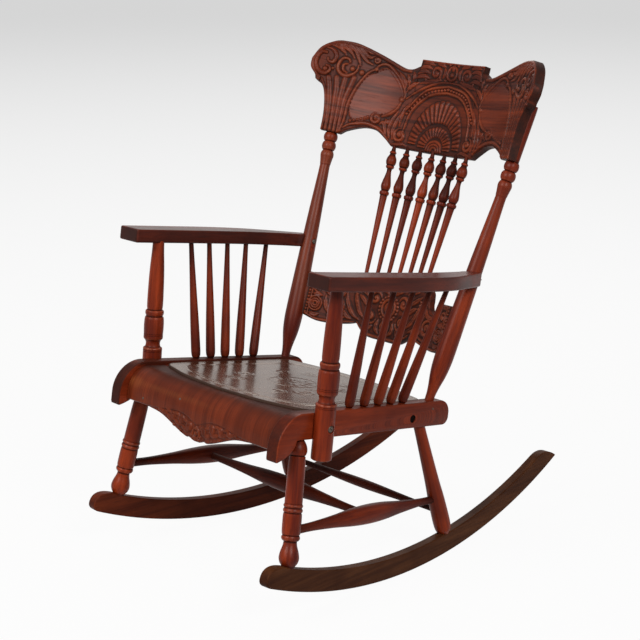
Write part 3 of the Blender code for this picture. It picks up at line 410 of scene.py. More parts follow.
class Graph:
    """Node tree of one material or world."""

    def __init__(self, owner: Material | bpy.types.World) -> None:
        """Start with an empty tree."""
        owner.use_nodes = True
        self.tree = owner.node_tree
        self.tree.nodes.clear()

    def node(self, kind: str, settings: dict[str, object] | None = None,
             inputs: dict[object, object] | None = None, output: object = 0) -> Wire:
        """Add a node.

        Args:
            kind: Type of the node, without its prefix.
            settings: Its properties, set first.
            inputs: Values or wires of its sockets, by name or number.
            output: Socket that is returned, by name or number.

        Returns:
            The chosen output.
        """
        node = self.tree.nodes.new("ShaderNode" + kind)
        for key, value in (settings or {}).items():
            setattr(node, key, value)
        for key, value in (inputs or {}).items():
            if isinstance(value, Wire):
                self.tree.links.new(value.socket, node.inputs[key])
            else:
                node.inputs[key].default_value = value
        return Wire(self, node.outputs[output])

    def attribute(self, name: str, output: str) -> Wire:
        """Value stored on the vertices of a piece."""
        return self.node("Attribute", {"attribute_name": name}, {}, output)

    def stretched(self, vector: Wire, scale: Sequence[float], shift: float = 0.0) -> Wire:
        """Vector scaled along its three axes and shifted."""
        return self.node("VectorMath", {"operation": "MULTIPLY_ADD"},
                         {0: vector, 1: tuple(scale), 2: (shift, shift, shift)})

    def noise(self, vector: Wire, detail: float = 3.0, rough: float = 0.55) -> Wire:
        """Noise of unit scale at a vector."""
        return self.node("TexNoise", {},
                         {"Vector": vector, "Scale": 1.0, "Detail": detail, "Roughness": rough})

    def mix_colour(self, factor: Wire | float, first: Wire | Colour, second: Wire | Colour) -> Wire:
        """Colour between two colours, by a factor."""
        ends = [value if isinstance(value, Wire) else (*value, 1.0) for value in (first, second)]
        return self.node("Mix", {"data_type": "RGBA"}, {0: factor, 6: ends[0], 7: ends[1]}, 2)

    def seen(self) -> Wire:
        """1 for rays from the camera, mirrored rays and rays through glass, else 0."""
        first, *others = (self.node("LightPath", {}, {}, f"Is {kind} Ray")
                          for kind in ("Camera", "Glossy", "Transmission"))
        return first.maths("MINIMUM", first + others[0] + others[1], 1.0)

    def principled(self, **inputs: object) -> None:
        """Send a Principled shader to the output, its sockets named with _ for spaces."""
        self.surface(self.node("BsdfPrincipled", {},
                               {key.replace("_", " "): value for key, value in inputs.items()}))

    def surface(self, shader: Wire, target: str = "OutputMaterial") -> None:
        """Send a shader to the output."""
        node = self.tree.nodes.new("ShaderNode" + target)
        self.tree.links.new(shader.socket, node.inputs["Surface"])


@dataclass(frozen=True)
class VarnishedWood:
    """Stained and varnished wood with fibres, figure, pores, soiling and painted shade in hollows, and wear
    and painted highlights on high places.
    """

    name: str
    dark: Colour = (0.075, 0.012, 0.006)
    light: Colour = (0.185, 0.033, 0.012)
    pore: Colour = (0.022, 0.006, 0.004)
    # Colour of hollows, grooves and joins: real grime, and painted shade there.
    grime_and_shade: Colour = (0.020, 0.008, 0.006)
    # Colour of rubbed high places, also used as painted highlights on carved ridges, the back posts and the
    # roll's bend.
    rubbed_and_highlight: Colour = (0.30, 0.085, 0.040)
    figure: float = 24.0
    fibres: float = 170.0
    gloss: float = 0.30
    coat: float = 0.30
    pores: float = 0.45
    rub_and_highlight: float = 0.55
    shine: float = 0.06
    end_grain: float = 0.0
    polish: float = 0.24
    fibre_run: float = 9.0
    figure_run: float = 2.4
    stain_scale: Triple = (7.0, 9.0, 9.0)
    pore_scale: Triple = (34.0, 760.0, 760.0)
    bump: float = 0.16
    bump_depth: float = 0.0005

    def material(self) -> Material:
        """Node material of this finish."""
        material = bpy.data.materials.new(self.name)
        g = Graph(material)
        grain = g.attribute("grain", "Vector")
        tone = g.attribute("tone", "Fac")
        fibre = g.noise(g.stretched(grain, (self.fibre_run, self.fibres, self.fibres)))
        figure = g.noise(g.stretched(grain, (self.figure_run, self.figure, self.figure), 7.3), 2.0)
        stain_and_shade = g.noise(g.stretched(grain, self.stain_scale, 3.1), 2.0)
        pore = g.noise(g.stretched(grain, self.pore_scale, 1.7), 1.0).between(0.60, 0.72)
        body = figure.between(0.32, 0.68) * 0.60 + fibre.between(0.28, 0.72) * 0.40
        colour = g.mix_colour(body, self.dark, self.light)
        colour = g.mix_colour(stain_and_shade.between(0.46, 0.70) * 0.70, colour, self.dark)
        colour = g.mix_colour(pore * self.pores, colour, self.pore)
        # Tone below 0: darkened towards the hollow colour, as grime and painted shade.
        hollow_grime_and_shade = (0.0 - tone).between(0.05, 0.95)
        colour = g.mix_colour(hollow_grime_and_shade * 0.85, colour, self.grime_and_shade)
        if self.end_grain:
            facing = g.node("NewGeometry", {}, {}, "True Normal")
            turned = g.node("VectorMath", {"operation": "DOT_PRODUCT"},
                            {0: facing, 1: (0.0, *REARWARD)}, "Value")
            colour = g.mix_colour((turned * turned).between(0.45, 0.85) * self.end_grain, colour, self.pore)
        # Tone above 0: lightened towards the rubbed colour, as wear and painted highlights.
        worn = tone.between(0.15, 1.0) * (stain_and_shade * 0.5 + fibre * 0.8).between(0.35, 0.85)
        colour = g.mix_colour(worn * self.rub_and_highlight, colour, self.rubbed_and_highlight)
        rough = self.gloss + (stain_and_shade - 0.5) * 0.18 + pore * 0.12 + hollow_grime_and_shade * 0.22
        bump = g.node("Bump", {}, {"Strength": self.bump, "Distance": self.bump_depth,
                                   "Height": fibre * 0.5 - pore * 0.6})
        g.principled(Base_Color=colour, Roughness=rough, Coat_Weight=(1.0 - hollow_grime_and_shade) * self.coat,
                     Coat_Roughness=self.polish, Normal=bump, Specular_IOR_Level=self.shine)
        return material


@dataclass(frozen=True)
class EmbossedBoard:
    """Dark glossy seat board with a crazed varnish, wiped light on the high places."""

    name: str
    dark: Colour = (0.026, 0.009, 0.005)
    light: Colour = (0.085, 0.032, 0.018)
    # Painted shade colour, for the hollows of the embossing and the edges of the panel.
    rim: Colour = (0.014, 0.006, 0.004)
    edge: Colour = (0.30, 0.19, 0.10)
    coat: float = 0.40
    polish: float = 0.17
    coat_tint: Colour = (1.0, 0.84, 0.70)
    shine: float = 0.36
    shine_tint: Colour = (0.92, 0.76, 0.62)
    mottle_scale: Triple = (38.0, 38.0, 38.0)
    streak_scale: Triple = (9.0, 120.0, 120.0)
    craze_scale: Triple = (210.0, 210.0, 210.0)
    bump: float = 0.16
    bump_depth: float = 0.0006

    def material(self) -> Material:
        """Node material of this finish."""
        material = bpy.data.materials.new(self.name)
        g = Graph(material)
        grain = g.attribute("grain", "Vector")
        tone = g.attribute("tone", "Fac")
        mottle = g.noise(g.stretched(grain, self.mottle_scale), 5.0, 0.65)
        streak = g.noise(g.stretched(grain, self.streak_scale, 2.0), 3.0)
        craze = g.node("TexVoronoi", {"feature": "DISTANCE_TO_EDGE"},
                       {"Vector": g.stretched(grain, self.craze_scale), "Scale": 1.0}, "Distance")
        crack = 1.0 - craze.between(0.0, 0.06)
        colour = g.mix_colour(mottle.between(0.3, 0.7) * 0.6 + streak * 0.4, self.dark, self.light)
        # Painted shade: tone below 0 darkens the hollows and the edges towards the rim colour.
        colour = g.mix_colour((0.0 - tone).between(0.05, 0.9) * 0.8, colour, self.rim)
        colour = g.mix_colour(tone.between(0.25, 1.0) * 0.5, colour, self.edge)
        rough = 0.14 + mottle * 0.20 + crack * 0.10 + (0.0 - tone).between(0.1, 1.0) * 0.5
        bump = g.node("Bump", {}, {"Strength": self.bump, "Distance": self.bump_depth,
                                   "Height": mottle * 0.7 + streak * 0.3 - crack * 0.25})
        coat_share = 1.0 - (0.0 - tone).between(0.1, 0.8)
        g.principled(Base_Color=colour, Roughness=rough, Coat_Weight=coat_share * self.coat,
                     Coat_Roughness=self.polish, Coat_Tint=(*self.coat_tint, 1.0),
                     Specular_Tint=(*self.shine_tint, 1.0), Normal=bump, Specular_IOR_Level=self.shine)
        return material


@dataclass(frozen=True)
class DullSteel:
    """Screw and nail steel gone brown and dull."""

    name: str
    bare: Colour = (0.135, 0.115, 0.095)
    rust: Colour = (0.045, 0.028, 0.020)
    spot_scale: Triple = (900.0, 900.0, 900.0)

    def material(self) -> Material:
        """Node material of this finish."""
        material = bpy.data.materials.new(self.name)
        g = Graph(material)
        place = g.node("TexCoord", {}, {}, "Object")
        spots = g.noise(g.stretched(place, self.spot_scale), 4.0).between(0.35, 0.62)
        g.principled(Base_Color=g.mix_colour(spots, self.bare, self.rust), Metallic=1.0 - spots * 0.6,
                     Roughness=0.36 + spots * 0.3)
        return material


@dataclass
class Finishes:
    """All finishes of the chair."""

    turned: Material = field(init=False)
    board: Material = field(init=False)
    arm: Material = field(init=False)
    rockers: dict[str, Material] = field(init=False)
    carved: Material = field(init=False)
    roll: Material = field(init=False)
    seat: Material = field(init=False)
    steel: Material = field(init=False)
    hole: Material = field(init=False)

    def __post_init__(self) -> None:
        """Make every material."""
        self.turned = VarnishedWood(
            "turned_red_varnish", dark=(0.060, 0.005, 0.002), light=(0.240, 0.030, 0.006),
            grime_and_shade=(0.010, 0.003, 0.002), gloss=0.36, coat=0.17, pores=0.35, polish=0.36).material()
        self.board = VarnishedWood(
            "rail_varnish", dark=(0.075, 0.009, 0.003), light=(0.215, 0.029, 0.008),
            grime_and_shade=(0.010, 0.005, 0.004), coat=0.06, end_grain=0.45).material()
        self.arm = VarnishedWood(
            "arm_varnish", dark=(0.033, 0.007, 0.005), light=(0.118, 0.019, 0.009), gloss=0.32, coat=0.10,
            end_grain=0.9, shine=0.08).material()
        rocker = VarnishedWood(
            "red_rocker_varnish", dark=(0.044, 0.007, 0.003), light=(0.135, 0.026, 0.009), gloss=0.42,
            coat=0.03, figure=40.0, pores=0.4, shine=0.04, end_grain=0.3)
        worn = replace(
            rocker, name="worn_rocker_varnish", dark=(0.034, 0.010, 0.004), light=(0.096, 0.034, 0.013),
            coat=0.02, rubbed_and_highlight=(0.26, 0.13, 0.075), shine=0.03)
        self.rockers = {"left": rocker.material(), "right": worn.material()}
        self.carved = VarnishedWood(
            "carved_varnish", dark=(0.036, 0.005, 0.002), light=(0.165, 0.026, 0.008), gloss=0.36, coat=0.0,
            figure=58.0, rubbed_and_highlight=(0.29, 0.078, 0.032), grime_and_shade=(0.007, 0.002, 0.001), rub_and_highlight=0.48,
            shine=0.13).material()
        self.roll = VarnishedWood(
            "roll_varnish", dark=(0.067, 0.010, 0.003), light=(0.142, 0.023, 0.007), gloss=0.36, coat=0.05,
            figure=70.0, fibres=300.0, rubbed_and_highlight=(0.24, 0.070, 0.020), shine=0.08, rub_and_highlight=0.5).material()
        self.seat = EmbossedBoard("embossed_board").material()
        self.steel = DullSteel("dull_steel").material()
        # Near black: a painted shadow for the inside of the empty holes.
        self.hole = VarnishedWood(
            "painted_hole_shadow", dark=(0.006, 0.003, 0.002), light=(0.014, 0.006, 0.004),
            grime_and_shade=(0.003, 0.0015, 0.001), gloss=0.8, coat=0.0).material()


# Turned pieces


CLEAN: Path = ((0.0, 0.0), (1.0, 0.0))


def sized(run: Path, radius: float, start: float = 0.0) -> Path:
    """Run of a profile: distances counted from a start, radii as shares of one radius."""
    return [(start + distance, share * radius) for distance, share in run]


@dataclass
class Turning:
    """Piece turned on a line, its profile given as smooth runs of (distance from the start, radius)."""

    name: str
    start: Points
    end: Points
    runs: Sequence[Path]
    steps: int = 40
    seed: float = 0.0
    # Tone by the share of the length: soiling and painted shade below 0, wear and painted highlight above 0.
    dirt_and_shade: Path = CLEAN
    ring_reach: float = 0.004
    ring_depth: float = 0.0011

    def axis(self) -> Points:
        """Direction of the line."""
        way = np.asarray(self.end, float) - np.asarray(self.start, float)
        return way / np.linalg.norm(way)

    def profile(self) -> Points:
        """All runs sampled and joined, with corners only where two runs meet."""
        return np.vstack([through(run, 5) if len(run) > 2 else np.asarray(run, float) for run in self.runs])

    def tone_at(self, distance: Points, profile: Points) -> Points:
        """Soiling and painted shade in grooves and rubbing on rings, by distance along the line.

        Args:
            distance: Places to give a tone.
            profile: Sampled profile.

        Returns:
            Tone at each place.
        """
        z = np.linspace(profile[0, 0], profile[-1, 0], 900)
        keep = np.concatenate([[True], np.diff(profile[:, 0]) > 1e-6])
        radius = np.interp(z, profile[keep, 0], profile[keep, 1])
        reach = max(int(self.ring_reach / (z[1] - z[0])), 1)
        kernel = np.ones(2 * reach + 1) / (2 * reach + 1)
        mean = np.convolve(np.pad(radius, reach, mode="edge"), kernel, mode="valid")
        # Grooves darker, as soiling and painted shade; rings lighter, as wear.
        rings = np.interp(distance, z, np.clip((radius - mean) / self.ring_depth, -1.0, 1.0))
        share = (distance - profile[0, 0]) / (profile[-1, 0] - profile[0, 0])
        return np.clip(rings + np.interp(share, *np.transpose(self.dirt_and_shade)), -1.0, 1.0)

    def build(self) -> Piece:
        """Draw the half profile, spin it round and stand it on its line."""
        profile = self.profile()
        half = np.vstack([[profile[0, 0], 0.0], profile, [profile[-1, 0], 0.0]])
        Bench.clear()
        bpy.ops.mesh.primitive_circle_add(vertices=len(half))
        item = Bench.named(self.name)
        Bench.move(item, np.column_stack([half[:, 1], np.zeros(len(half)), half[:, 0]]))
        Bench.hold(item)
        bpy.ops.object.mode_set(mode="EDIT")
        bpy.ops.mesh.select_mode(type="EDGE")
        bpy.ops.mesh.select_all(action="DESELECT")
        bpy.ops.object.mode_set(mode="OBJECT")
        for edge in item.data.edges:
            edge.select = set(edge.vertices) == {0, len(half) - 1}
        bpy.ops.object.mode_set(mode="EDIT")
        bpy.ops.mesh.delete(type="EDGE")
        bpy.ops.mesh.select_mode(type="VERT")
        bpy.ops.mesh.select_all(action="SELECT")
        bpy.ops.mesh.spin(steps=self.steps, angle=2 * math.pi, center=(0, 0, 0), axis=(0, 0, 1))
        bpy.ops.mesh.select_all(action="SELECT")
        bpy.ops.mesh.remove_doubles(threshold=2e-5)
        Bench.outward()
        bpy.ops.object.mode_set(mode="OBJECT")
        local = Bench.points(item)
        x, y, z = local.T
        Bench.mark(item, np.column_stack([z + self.seed, x + 0.31 * self.seed, y]), self.tone_at(z, profile))
        Bench.move(item, local @ standing(self.axis()).T + np.asarray(self.start, float))
        Bench.smooth(item, 40.0)
        return item


# Sawn boards


@dataclass
class SawnBoard:
    """Board of even thickness sawn to an outline, with rounded edges."""

    name: str
    outline: Points
    thickness: float
    place: SolidRule
    edge: float = 0.0025
    seed: float = 0.0
    grain_turned: bool = False
    shade: SolidRule | None = None

    def build(self) -> Piece:
        """Draw the outline, raise it to its thickness, round its edges and put it in place."""
        steps = np.linalg.norm(np.diff(self.outline, axis=0), axis=1)
        outline = self.outline[np.concatenate([[True], steps > 1e-5])]
        if np.linalg.norm(outline[0] - outline[-1]) < 1e-5:
            outline = outline[:-1]
        Bench.clear()
        bpy.ops.mesh.primitive_circle_add(vertices=len(outline), fill_type="NGON")
        item = Bench.named(self.name)
        Bench.move(item, np.column_stack([outline, np.full(len(outline), -self.thickness / 2)]))
        rise = (0, 0, self.thickness)
        Bench.edit(
            item,
            lambda: bpy.ops.mesh.extrude_region_move(TRANSFORM_OT_translate={"value": rise}),
            Bench.outward)
        Bench.modify(item, "BEVEL", width=self.edge, segments=3, limit_method="ANGLE",
                     angle_limit=math.radians(50))
        local = Bench.points(item)
        u, v, t = local.T
        run, across = (v, u) if self.grain_turned else (u, v)
        Bench.mark(item, np.column_stack([run + self.seed, across + 0.37 * self.seed, t]),
                   self.shade(u, v, t) if self.shade else 0.0)
        Bench.move(item, self.place(u, v, t))
        Bench.edit(item, Bench.outward)
        Bench.smooth(item, 32.0)
        Bench.modify(item, "WEIGHTED_NORMAL", keep_sharp=True, weight=50)
        return item


# Carving


class Carving:
    """Relief over a face, in millimetres, raised stroke by stroke over a sunk ground."""

    sample: float = 0.6
    batch: int = 20

    def __init__(self, s: Points, v: Points, swell: float = 1.0) -> None:
        """Start flat.

        Args:
            s: Places across, mirrored about the middle.
            v: Places up.
            swell: How much wider than drawn the raised strokes are.
        """
        self.s = np.abs(s.ravel())
        self.v = v.ravel()
        self.swell = swell
        self.h = np.zeros_like(self.v)

    def close_to(self, path: Points, reach: float) -> Points:
        """Numbers of the places within reach of a path's box."""
        low, high = path.min(axis=0) - reach, path.max(axis=0) + reach
        return np.flatnonzero((self.s > low[0]) & (self.s < high[0]) & (self.v > low[1]) & (self.v < high[1]))

    def section(self, path: Points, width: float, ends: Pair, taper: float = 1.0
                ) -> tuple[Points, Points, Points]:
        """Places under a stroke, how far across it they lie (0 to 1) and how full it is there.

        Args:
            path: Sampled run of the stroke.
            width: Half width at its fullest.
            ends: Share of the width left at its first and last place.
            taper: Share of the width it narrows to towards its last place.

        Returns:
            Numbers of the places, share across, fullness.
        """
        length = run_length(path)
        t = np.linspace(0, 1, max(int(length[-1] / self.sample), 4))
        dense = np.column_stack([np.interp(t * length[-1], length, column) for column in path.T])
        rise, fall = (end + (1 - end) * share * 3.0 for end, share in zip(ends, (t, 1 - t)))
        full = np.minimum(1.0, np.minimum(rise, fall)) * (1 + (taper - 1) * t)
        best, fullness = np.full(len(self.v), np.inf), np.zeros(len(self.v))
        for first in range(0, len(dense), self.batch):
            run, share = dense[first:first + self.batch], full[first:first + self.batch]
            found = self.close_to(run, width)
            here = np.column_stack([self.s[found], self.v[found]])
            gap = np.linalg.norm(here[:, None, :] - run[None, :, :], axis=2) / (width * share)
            nearest = gap.argmin(axis=1)
            across = gap[np.arange(len(found)), nearest]
            better = across < best[found]
            best[found[better]] = across[better]
            fullness[found[better]] = share[nearest[better]]
        inside = np.flatnonzero(best < 1.0)
        return inside, best[inside], fullness[inside]

    def ridge(self, places: Path, width: float, height: float, ends: Pair = (0.6, 0.6),
              taper: float = 1.0) -> None:
        """Rounded raised stroke through places."""
        found, across, full = self.section(through(places, 8), width * self.swell, ends, taper)
        self.h[found] = np.maximum(self.h[found], height * (0.35 + 0.65 * full) * (1 - across ** 2) ** 0.7)

    def groove(self, places: Path, width: float, depth: float, ends: Pair = (0.3, 0.3)) -> None:
        """Sunk stroke through places."""
        found, across, full = self.section(through(places, 8), width, ends)
        self.h[found] -= depth * full * (1 - across ** 2)

    def leaf(self, places: Path, width: float, height: float, ends: Pair = (0.25, 0.1)) -> None:
        """Raised stroke with a vein sunk along its middle."""
        self.ridge(places, width, height, ends)
        self.groove(places, width * 0.42, height * 0.36, ends)

    def bead(self, place: Pair, radius: float, height: float) -> None:
        """Round bead."""
        gap = np.hypot(self.s - place[0], self.v - place[1]) / radius
        found = np.flatnonzero(gap < 1.0)
        self.h[found] = np.maximum(self.h[found], height * np.sqrt(1 - gap[found] ** 2))

    def beads(self, places: Path, pitch: float, radius: float, height: float) -> None:
        """Row of beads along a run, one every pitch."""
        run = through(places, 16)
        length = run_length(run)
        for stop in np.arange(0, length[-1], pitch):
            self.bead(tuple(np.interp(stop, length, column) for column in run.T), radius, height)

    def ring(self, place: Pair, radius: float, width: float, height: float) -> None:
        """Raised ring."""
        self.ridge(spiral(place, (radius, radius), 0, 360), width, height, (1, 1))

    def scroll(self, place: Pair, radii: Pair, start: float, sweep: float,
               width: float, height: float, eye: float) -> None:
        """Spiral stroke that ends in a round eye."""
        self.ridge(spiral(place, radii, start, sweep), width, height, (0.3, 1.0))
        self.bead(place, eye, height * 1.15)

    def field_of(self, places: Path, level: float, soft: float = 2.0) -> None:
        """Flat raised field inside a closed run of places."""
        edge = through(list(places) + [places[0]], 10)
        found = self.close_to(edge, 0)
        x, y = self.s[found][:, None], self.v[found][:, None]
        x0, y0, x1, y1 = edge[:-1, 0], edge[:-1, 1], edge[1:, 0], edge[1:, 1]
        with np.errstate(divide="ignore", invalid="ignore"):
            crosses = ((y0 > y) != (y1 > y)) & (x < (x1 - x0) * (y - y0) / (y1 - y0) + x0)
        inside = found[crosses.sum(axis=1) % 2 == 1]
        here = np.column_stack([self.s[inside], self.v[inside]])
        gap = np.min(np.linalg.norm(here[:, None, :] - edge[None, ::3, :], axis=2), axis=1)
        self.h[inside] = np.maximum(self.h[inside], level * np.clip(gap / soft, 0, 1))

    def fan(self, place: Pair, inner: float, outer: Pair, lobes: int, height: float) -> None:
        """Half shell of radial lobes with rounded ends, over an ellipse of two outer radii."""
        x, y = self.s - place[0], self.v - place[1]
        radius = np.hypot(x, y)
        turn = np.arctan2(y, np.abs(x))
        reach = 1 / np.sqrt((np.cos(turn) / outer[0]) ** 2 + (np.sin(turn) / outer[1]) ** 2)
        share = (radius - inner) / (reach - inner)
        wave = np.abs(np.cos(turn * lobes))
        tip = np.clip((1 - share) / 0.16, 0, 1) ** 0.5
        found = np.flatnonzero((share > 0) & (share < 1 - 0.05 * (1 - wave)) & (y > -1))
        lift = height * (0.12 + 0.88 * wave ** 1.1) * tip * np.clip(share / 0.12 + 0.35, 0, 1)
        self.h[found] = np.maximum(self.h[found], lift[found])


def relief_shade_and_rub(height: Points, columns: int, reach: int = 3, depth: float = 0.9) -> Points:
    """Painted shade and soiling in the hollows of a relief, and rubbing and painted highlights on its high
    places.

    Args:
        height: Relief, column by column.
        columns: Number of columns.
        reach: Places on each side that are averaged.
        depth: Difference from the average that counts in full.

    Returns:
        Tone of each place.
    """
    grid = height.reshape(columns, -1)
    kernel = np.ones(2 * reach + 1) / (2 * reach + 1)
    padded = np.pad(grid, reach, mode="edge")
    mean = np.apply_along_axis(np.convolve, 0, padded, kernel, "valid")
    mean = np.apply_along_axis(np.convolve, 1, mean, kernel, "valid")
    return np.clip((grid - mean) / depth, -1, 1).ravel()


# By relief height in millimetres: the sunk ground darkened as soiling and painted shade, the highest ridges
# lightened as wear and painted highlight.
DIRT_AND_SHADE_BY_HEIGHT: Path = ((0.0, -1.0), (0.5, -0.8), (1.1, 0.0), (2.4, 0.1), (4.2, 0.35))


@dataclass
class CarvedBoard:
    """Board carved on its face: columns of places between a lower and an upper edge, with a plain rear."""

    name: str
    stations: Points
    low: Points
    high: Points
    rows: int
    carve: FaceRule
    place: SolidRule
    thickness: float
    ground: float
    rim: float = 0.004
    grain_turned: bool = False
    shade: FaceRule | None = None
    contrast: float = 1.0
    sunk_dirt_and_shade: float = 0.0
    # Tone of the rear faces, which also spreads over the edge faces: painted shade.
    rear_tone: float = -0.25
    edge_step: float = 0.002
    batch: int = 4000

    def edge_drop(self, s: Points, v: Points) -> Points:
        """How far the rounded rim falls back, by the distance from the outline."""
        outline = np.vstack([np.column_stack([self.stations, self.low]),
                             np.column_stack([self.stations, self.high])[::-1]])
        outline = np.vstack([outline, outline[:1]])
        length = np.linalg.norm(np.diff(outline, axis=0), axis=1)
        counts = np.maximum((length / self.edge_step).astype(int), 1)
        dense = np.asarray([outline[i] + (outline[i + 1] - outline[i]) * k / n
                            for i, n in enumerate(counts) for k in range(n)])
        gap = np.empty(len(s))
        for first in range(0, len(s), self.batch):
            part = slice(first, first + self.batch)
            here = np.column_stack([s[part], v[part]])
            gap[part] = np.sqrt(((here[:, None, :] - dense[None, :, :]) ** 2).sum(axis=2).min(axis=1))
        t = np.clip(1 - gap / self.rim, 0, 1)
        return self.rim * (1 - np.sqrt(1 - t ** 2)) * 0.8

    def build(self) -> Piece:
        """Lay out the face, raise its carving, fold a plain rear behind it and close the ends."""
        columns = len(self.stations)
        share = np.linspace(0, 1, self.rows)
        s = np.repeat(self.stations, self.rows)
        v = (self.low[:, None] + (self.high - self.low)[:, None] * share).ravel()
        height = self.carve(s, v)
        # Tone from the relief: painted shade and soiling in its hollows, wear and painted highlights on its
        # ridges.
        tone = relief_shade_and_rub(height * 1000, columns) * self.contrast
        if self.sunk_dirt_and_shade:
            tone += self.sunk_dirt_and_shade * np.interp(height * 1000, *np.transpose(DIRT_AND_SHADE_BY_HEIGHT))
        if self.shade:
            tone = np.clip(tone + self.shade(s, v), -1, 1)
        depth = self.ground - height + self.edge_drop(s, v)
        front = self.place(s, v, depth).reshape(columns, self.rows, 3)
        rear = [self.place(self.stations, edge, np.full(columns, self.thickness))[:, None, :]
                for edge in (self.high, self.low)]
        ring = np.concatenate([front, *rear, front[:, :1]], axis=1).reshape(-1, 3)
        Bench.clear()
        bpy.ops.mesh.primitive_grid_add(x_subdivisions=columns - 1, y_subdivisions=self.rows + 2)
        item = Bench.named(self.name)
        start = Bench.points(item)
        order = np.lexsort((start[:, 1], start[:, 0]))
        rank = np.empty(len(order), int)
        rank[order] = np.arange(len(order))
        Bench.move(item, ring[rank])
        across, up = (np.column_stack([row.reshape(columns, -1), high, low, low])
                      for row, high, low in ((s, self.stations, self.stations), (v, self.high, self.low)))
        tones = tone.reshape(columns, -1)
        tones = np.column_stack([tones, np.full((columns, 2), self.rear_tone), tones[:, 0]]).ravel()
        depths = np.zeros((columns, self.rows + 3))
        depths[:, self.rows:self.rows + 2] = self.thickness
        grain = (up, across, depths) if self.grain_turned else (across, up, depths)
        Bench.mark(item, np.column_stack([row.ravel() for row in grain])[rank], tones[rank])
        Bench.edit(
            item,
            lambda: bpy.ops.mesh.remove_doubles(threshold=1e-6),
            lambda: bpy.ops.mesh.select_all(action="SELECT"),
            lambda: bpy.ops.mesh.fill_holes(sides=0),
            Bench.outward)
        Bench.smooth(item, 50.0)
        return item


# Sizes the sub-assemblies share


@dataclass(frozen=True)
class Plan:
    """Layout of the rails, rockers and arms."""

    rail_spacing: float = 0.468
    rail_toe: float = math.radians(2.6)
    rail_thickness: float = 0.029
    rail_height: float = 0.0515
    rocker_spacing: float = 0.479
    rocker_toe: float = math.radians(3.72)
    arm_top: float = 0.269
    arm_thickness: float = 0.028
    arm_line: float = 0.267
    socket_inset: float = 0.003
    clearance: float = 0.0003

    def rail_x(self, l: float) -> float:
        """Half distance between the middles of the rails."""
        return self.rail_spacing / 2 - l * math.tan(self.rail_toe)

    def socket_x(self, l: float) -> float:
        """Half distance between the sockets in the rails."""
        return self.rail_x(l) - self.socket_inset

    def inner_x(self, l: Points) -> Points:
        """Half distance between the inner faces of the rails."""
        return self.rail_x(l) - self.rail_thickness / 2 - self.clearance

    def rail_place(self, sign: float) -> SolidRule:
        """Placement of one rail: along it, up and across its thickness."""
        turn = sign * self.rail_toe

        def place(u: Points, v: Points, t: Points) -> Points:
            """World places of points of the rail."""
            x = sign * self.rail_spacing / 2 + t * math.cos(turn) - u * math.sin(turn)
            return SEAT.place(x, t * math.sin(turn) + u * math.cos(turn), v)
        return place

    def rocker_place(self, sign: float) -> SolidRule:
        """Placement of one rocker: along it, up and across its thickness."""
        turn = sign * self.rocker_toe

        def place(u: Points, v: Points, t: Points) -> Points:
            """World places of points of the rocker."""
            u, v, t = (np.atleast_1d(np.asarray(q, float)) for q in (u, v, t))
            return np.column_stack([sign * self.rocker_spacing / 2 + t * math.cos(turn) - u * math.sin(turn),
                                    t * math.sin(turn) + u * math.cos(turn), v])
        return place


PLAN = Plan()


@dataclass
class Assembly:
    """Sub-assembly of the chair, with the finishes its pieces wear."""

    finishes: Finishes

    def turn(self, node: str, line: tuple[Points, Points], runs: Sequence[Path], steps: int, seed: float,
             dirt_and_shade: Path = CLEAN) -> Points:
        """Turn the piece that stands for a solid.

        Args:
            node: Solid it stands for.
            line: Both ends of its axis.
            runs: Runs of its profile.
            steps: Spans round it.
            seed: Shift of its grain.
            dirt_and_shade: Tone by the share of its length: soiling and painted shade below 0, wear and
                painted highlight above 0.

        Returns:
            Sampled profile.
        """
        turning = Turning(f"turned_{node}", *line, runs, steps, seed, dirt_and_shade)
        finish_piece(turning.build(), self.finishes.turned, Slot.WOOD, node)
        return turning.profile()


# Underframe


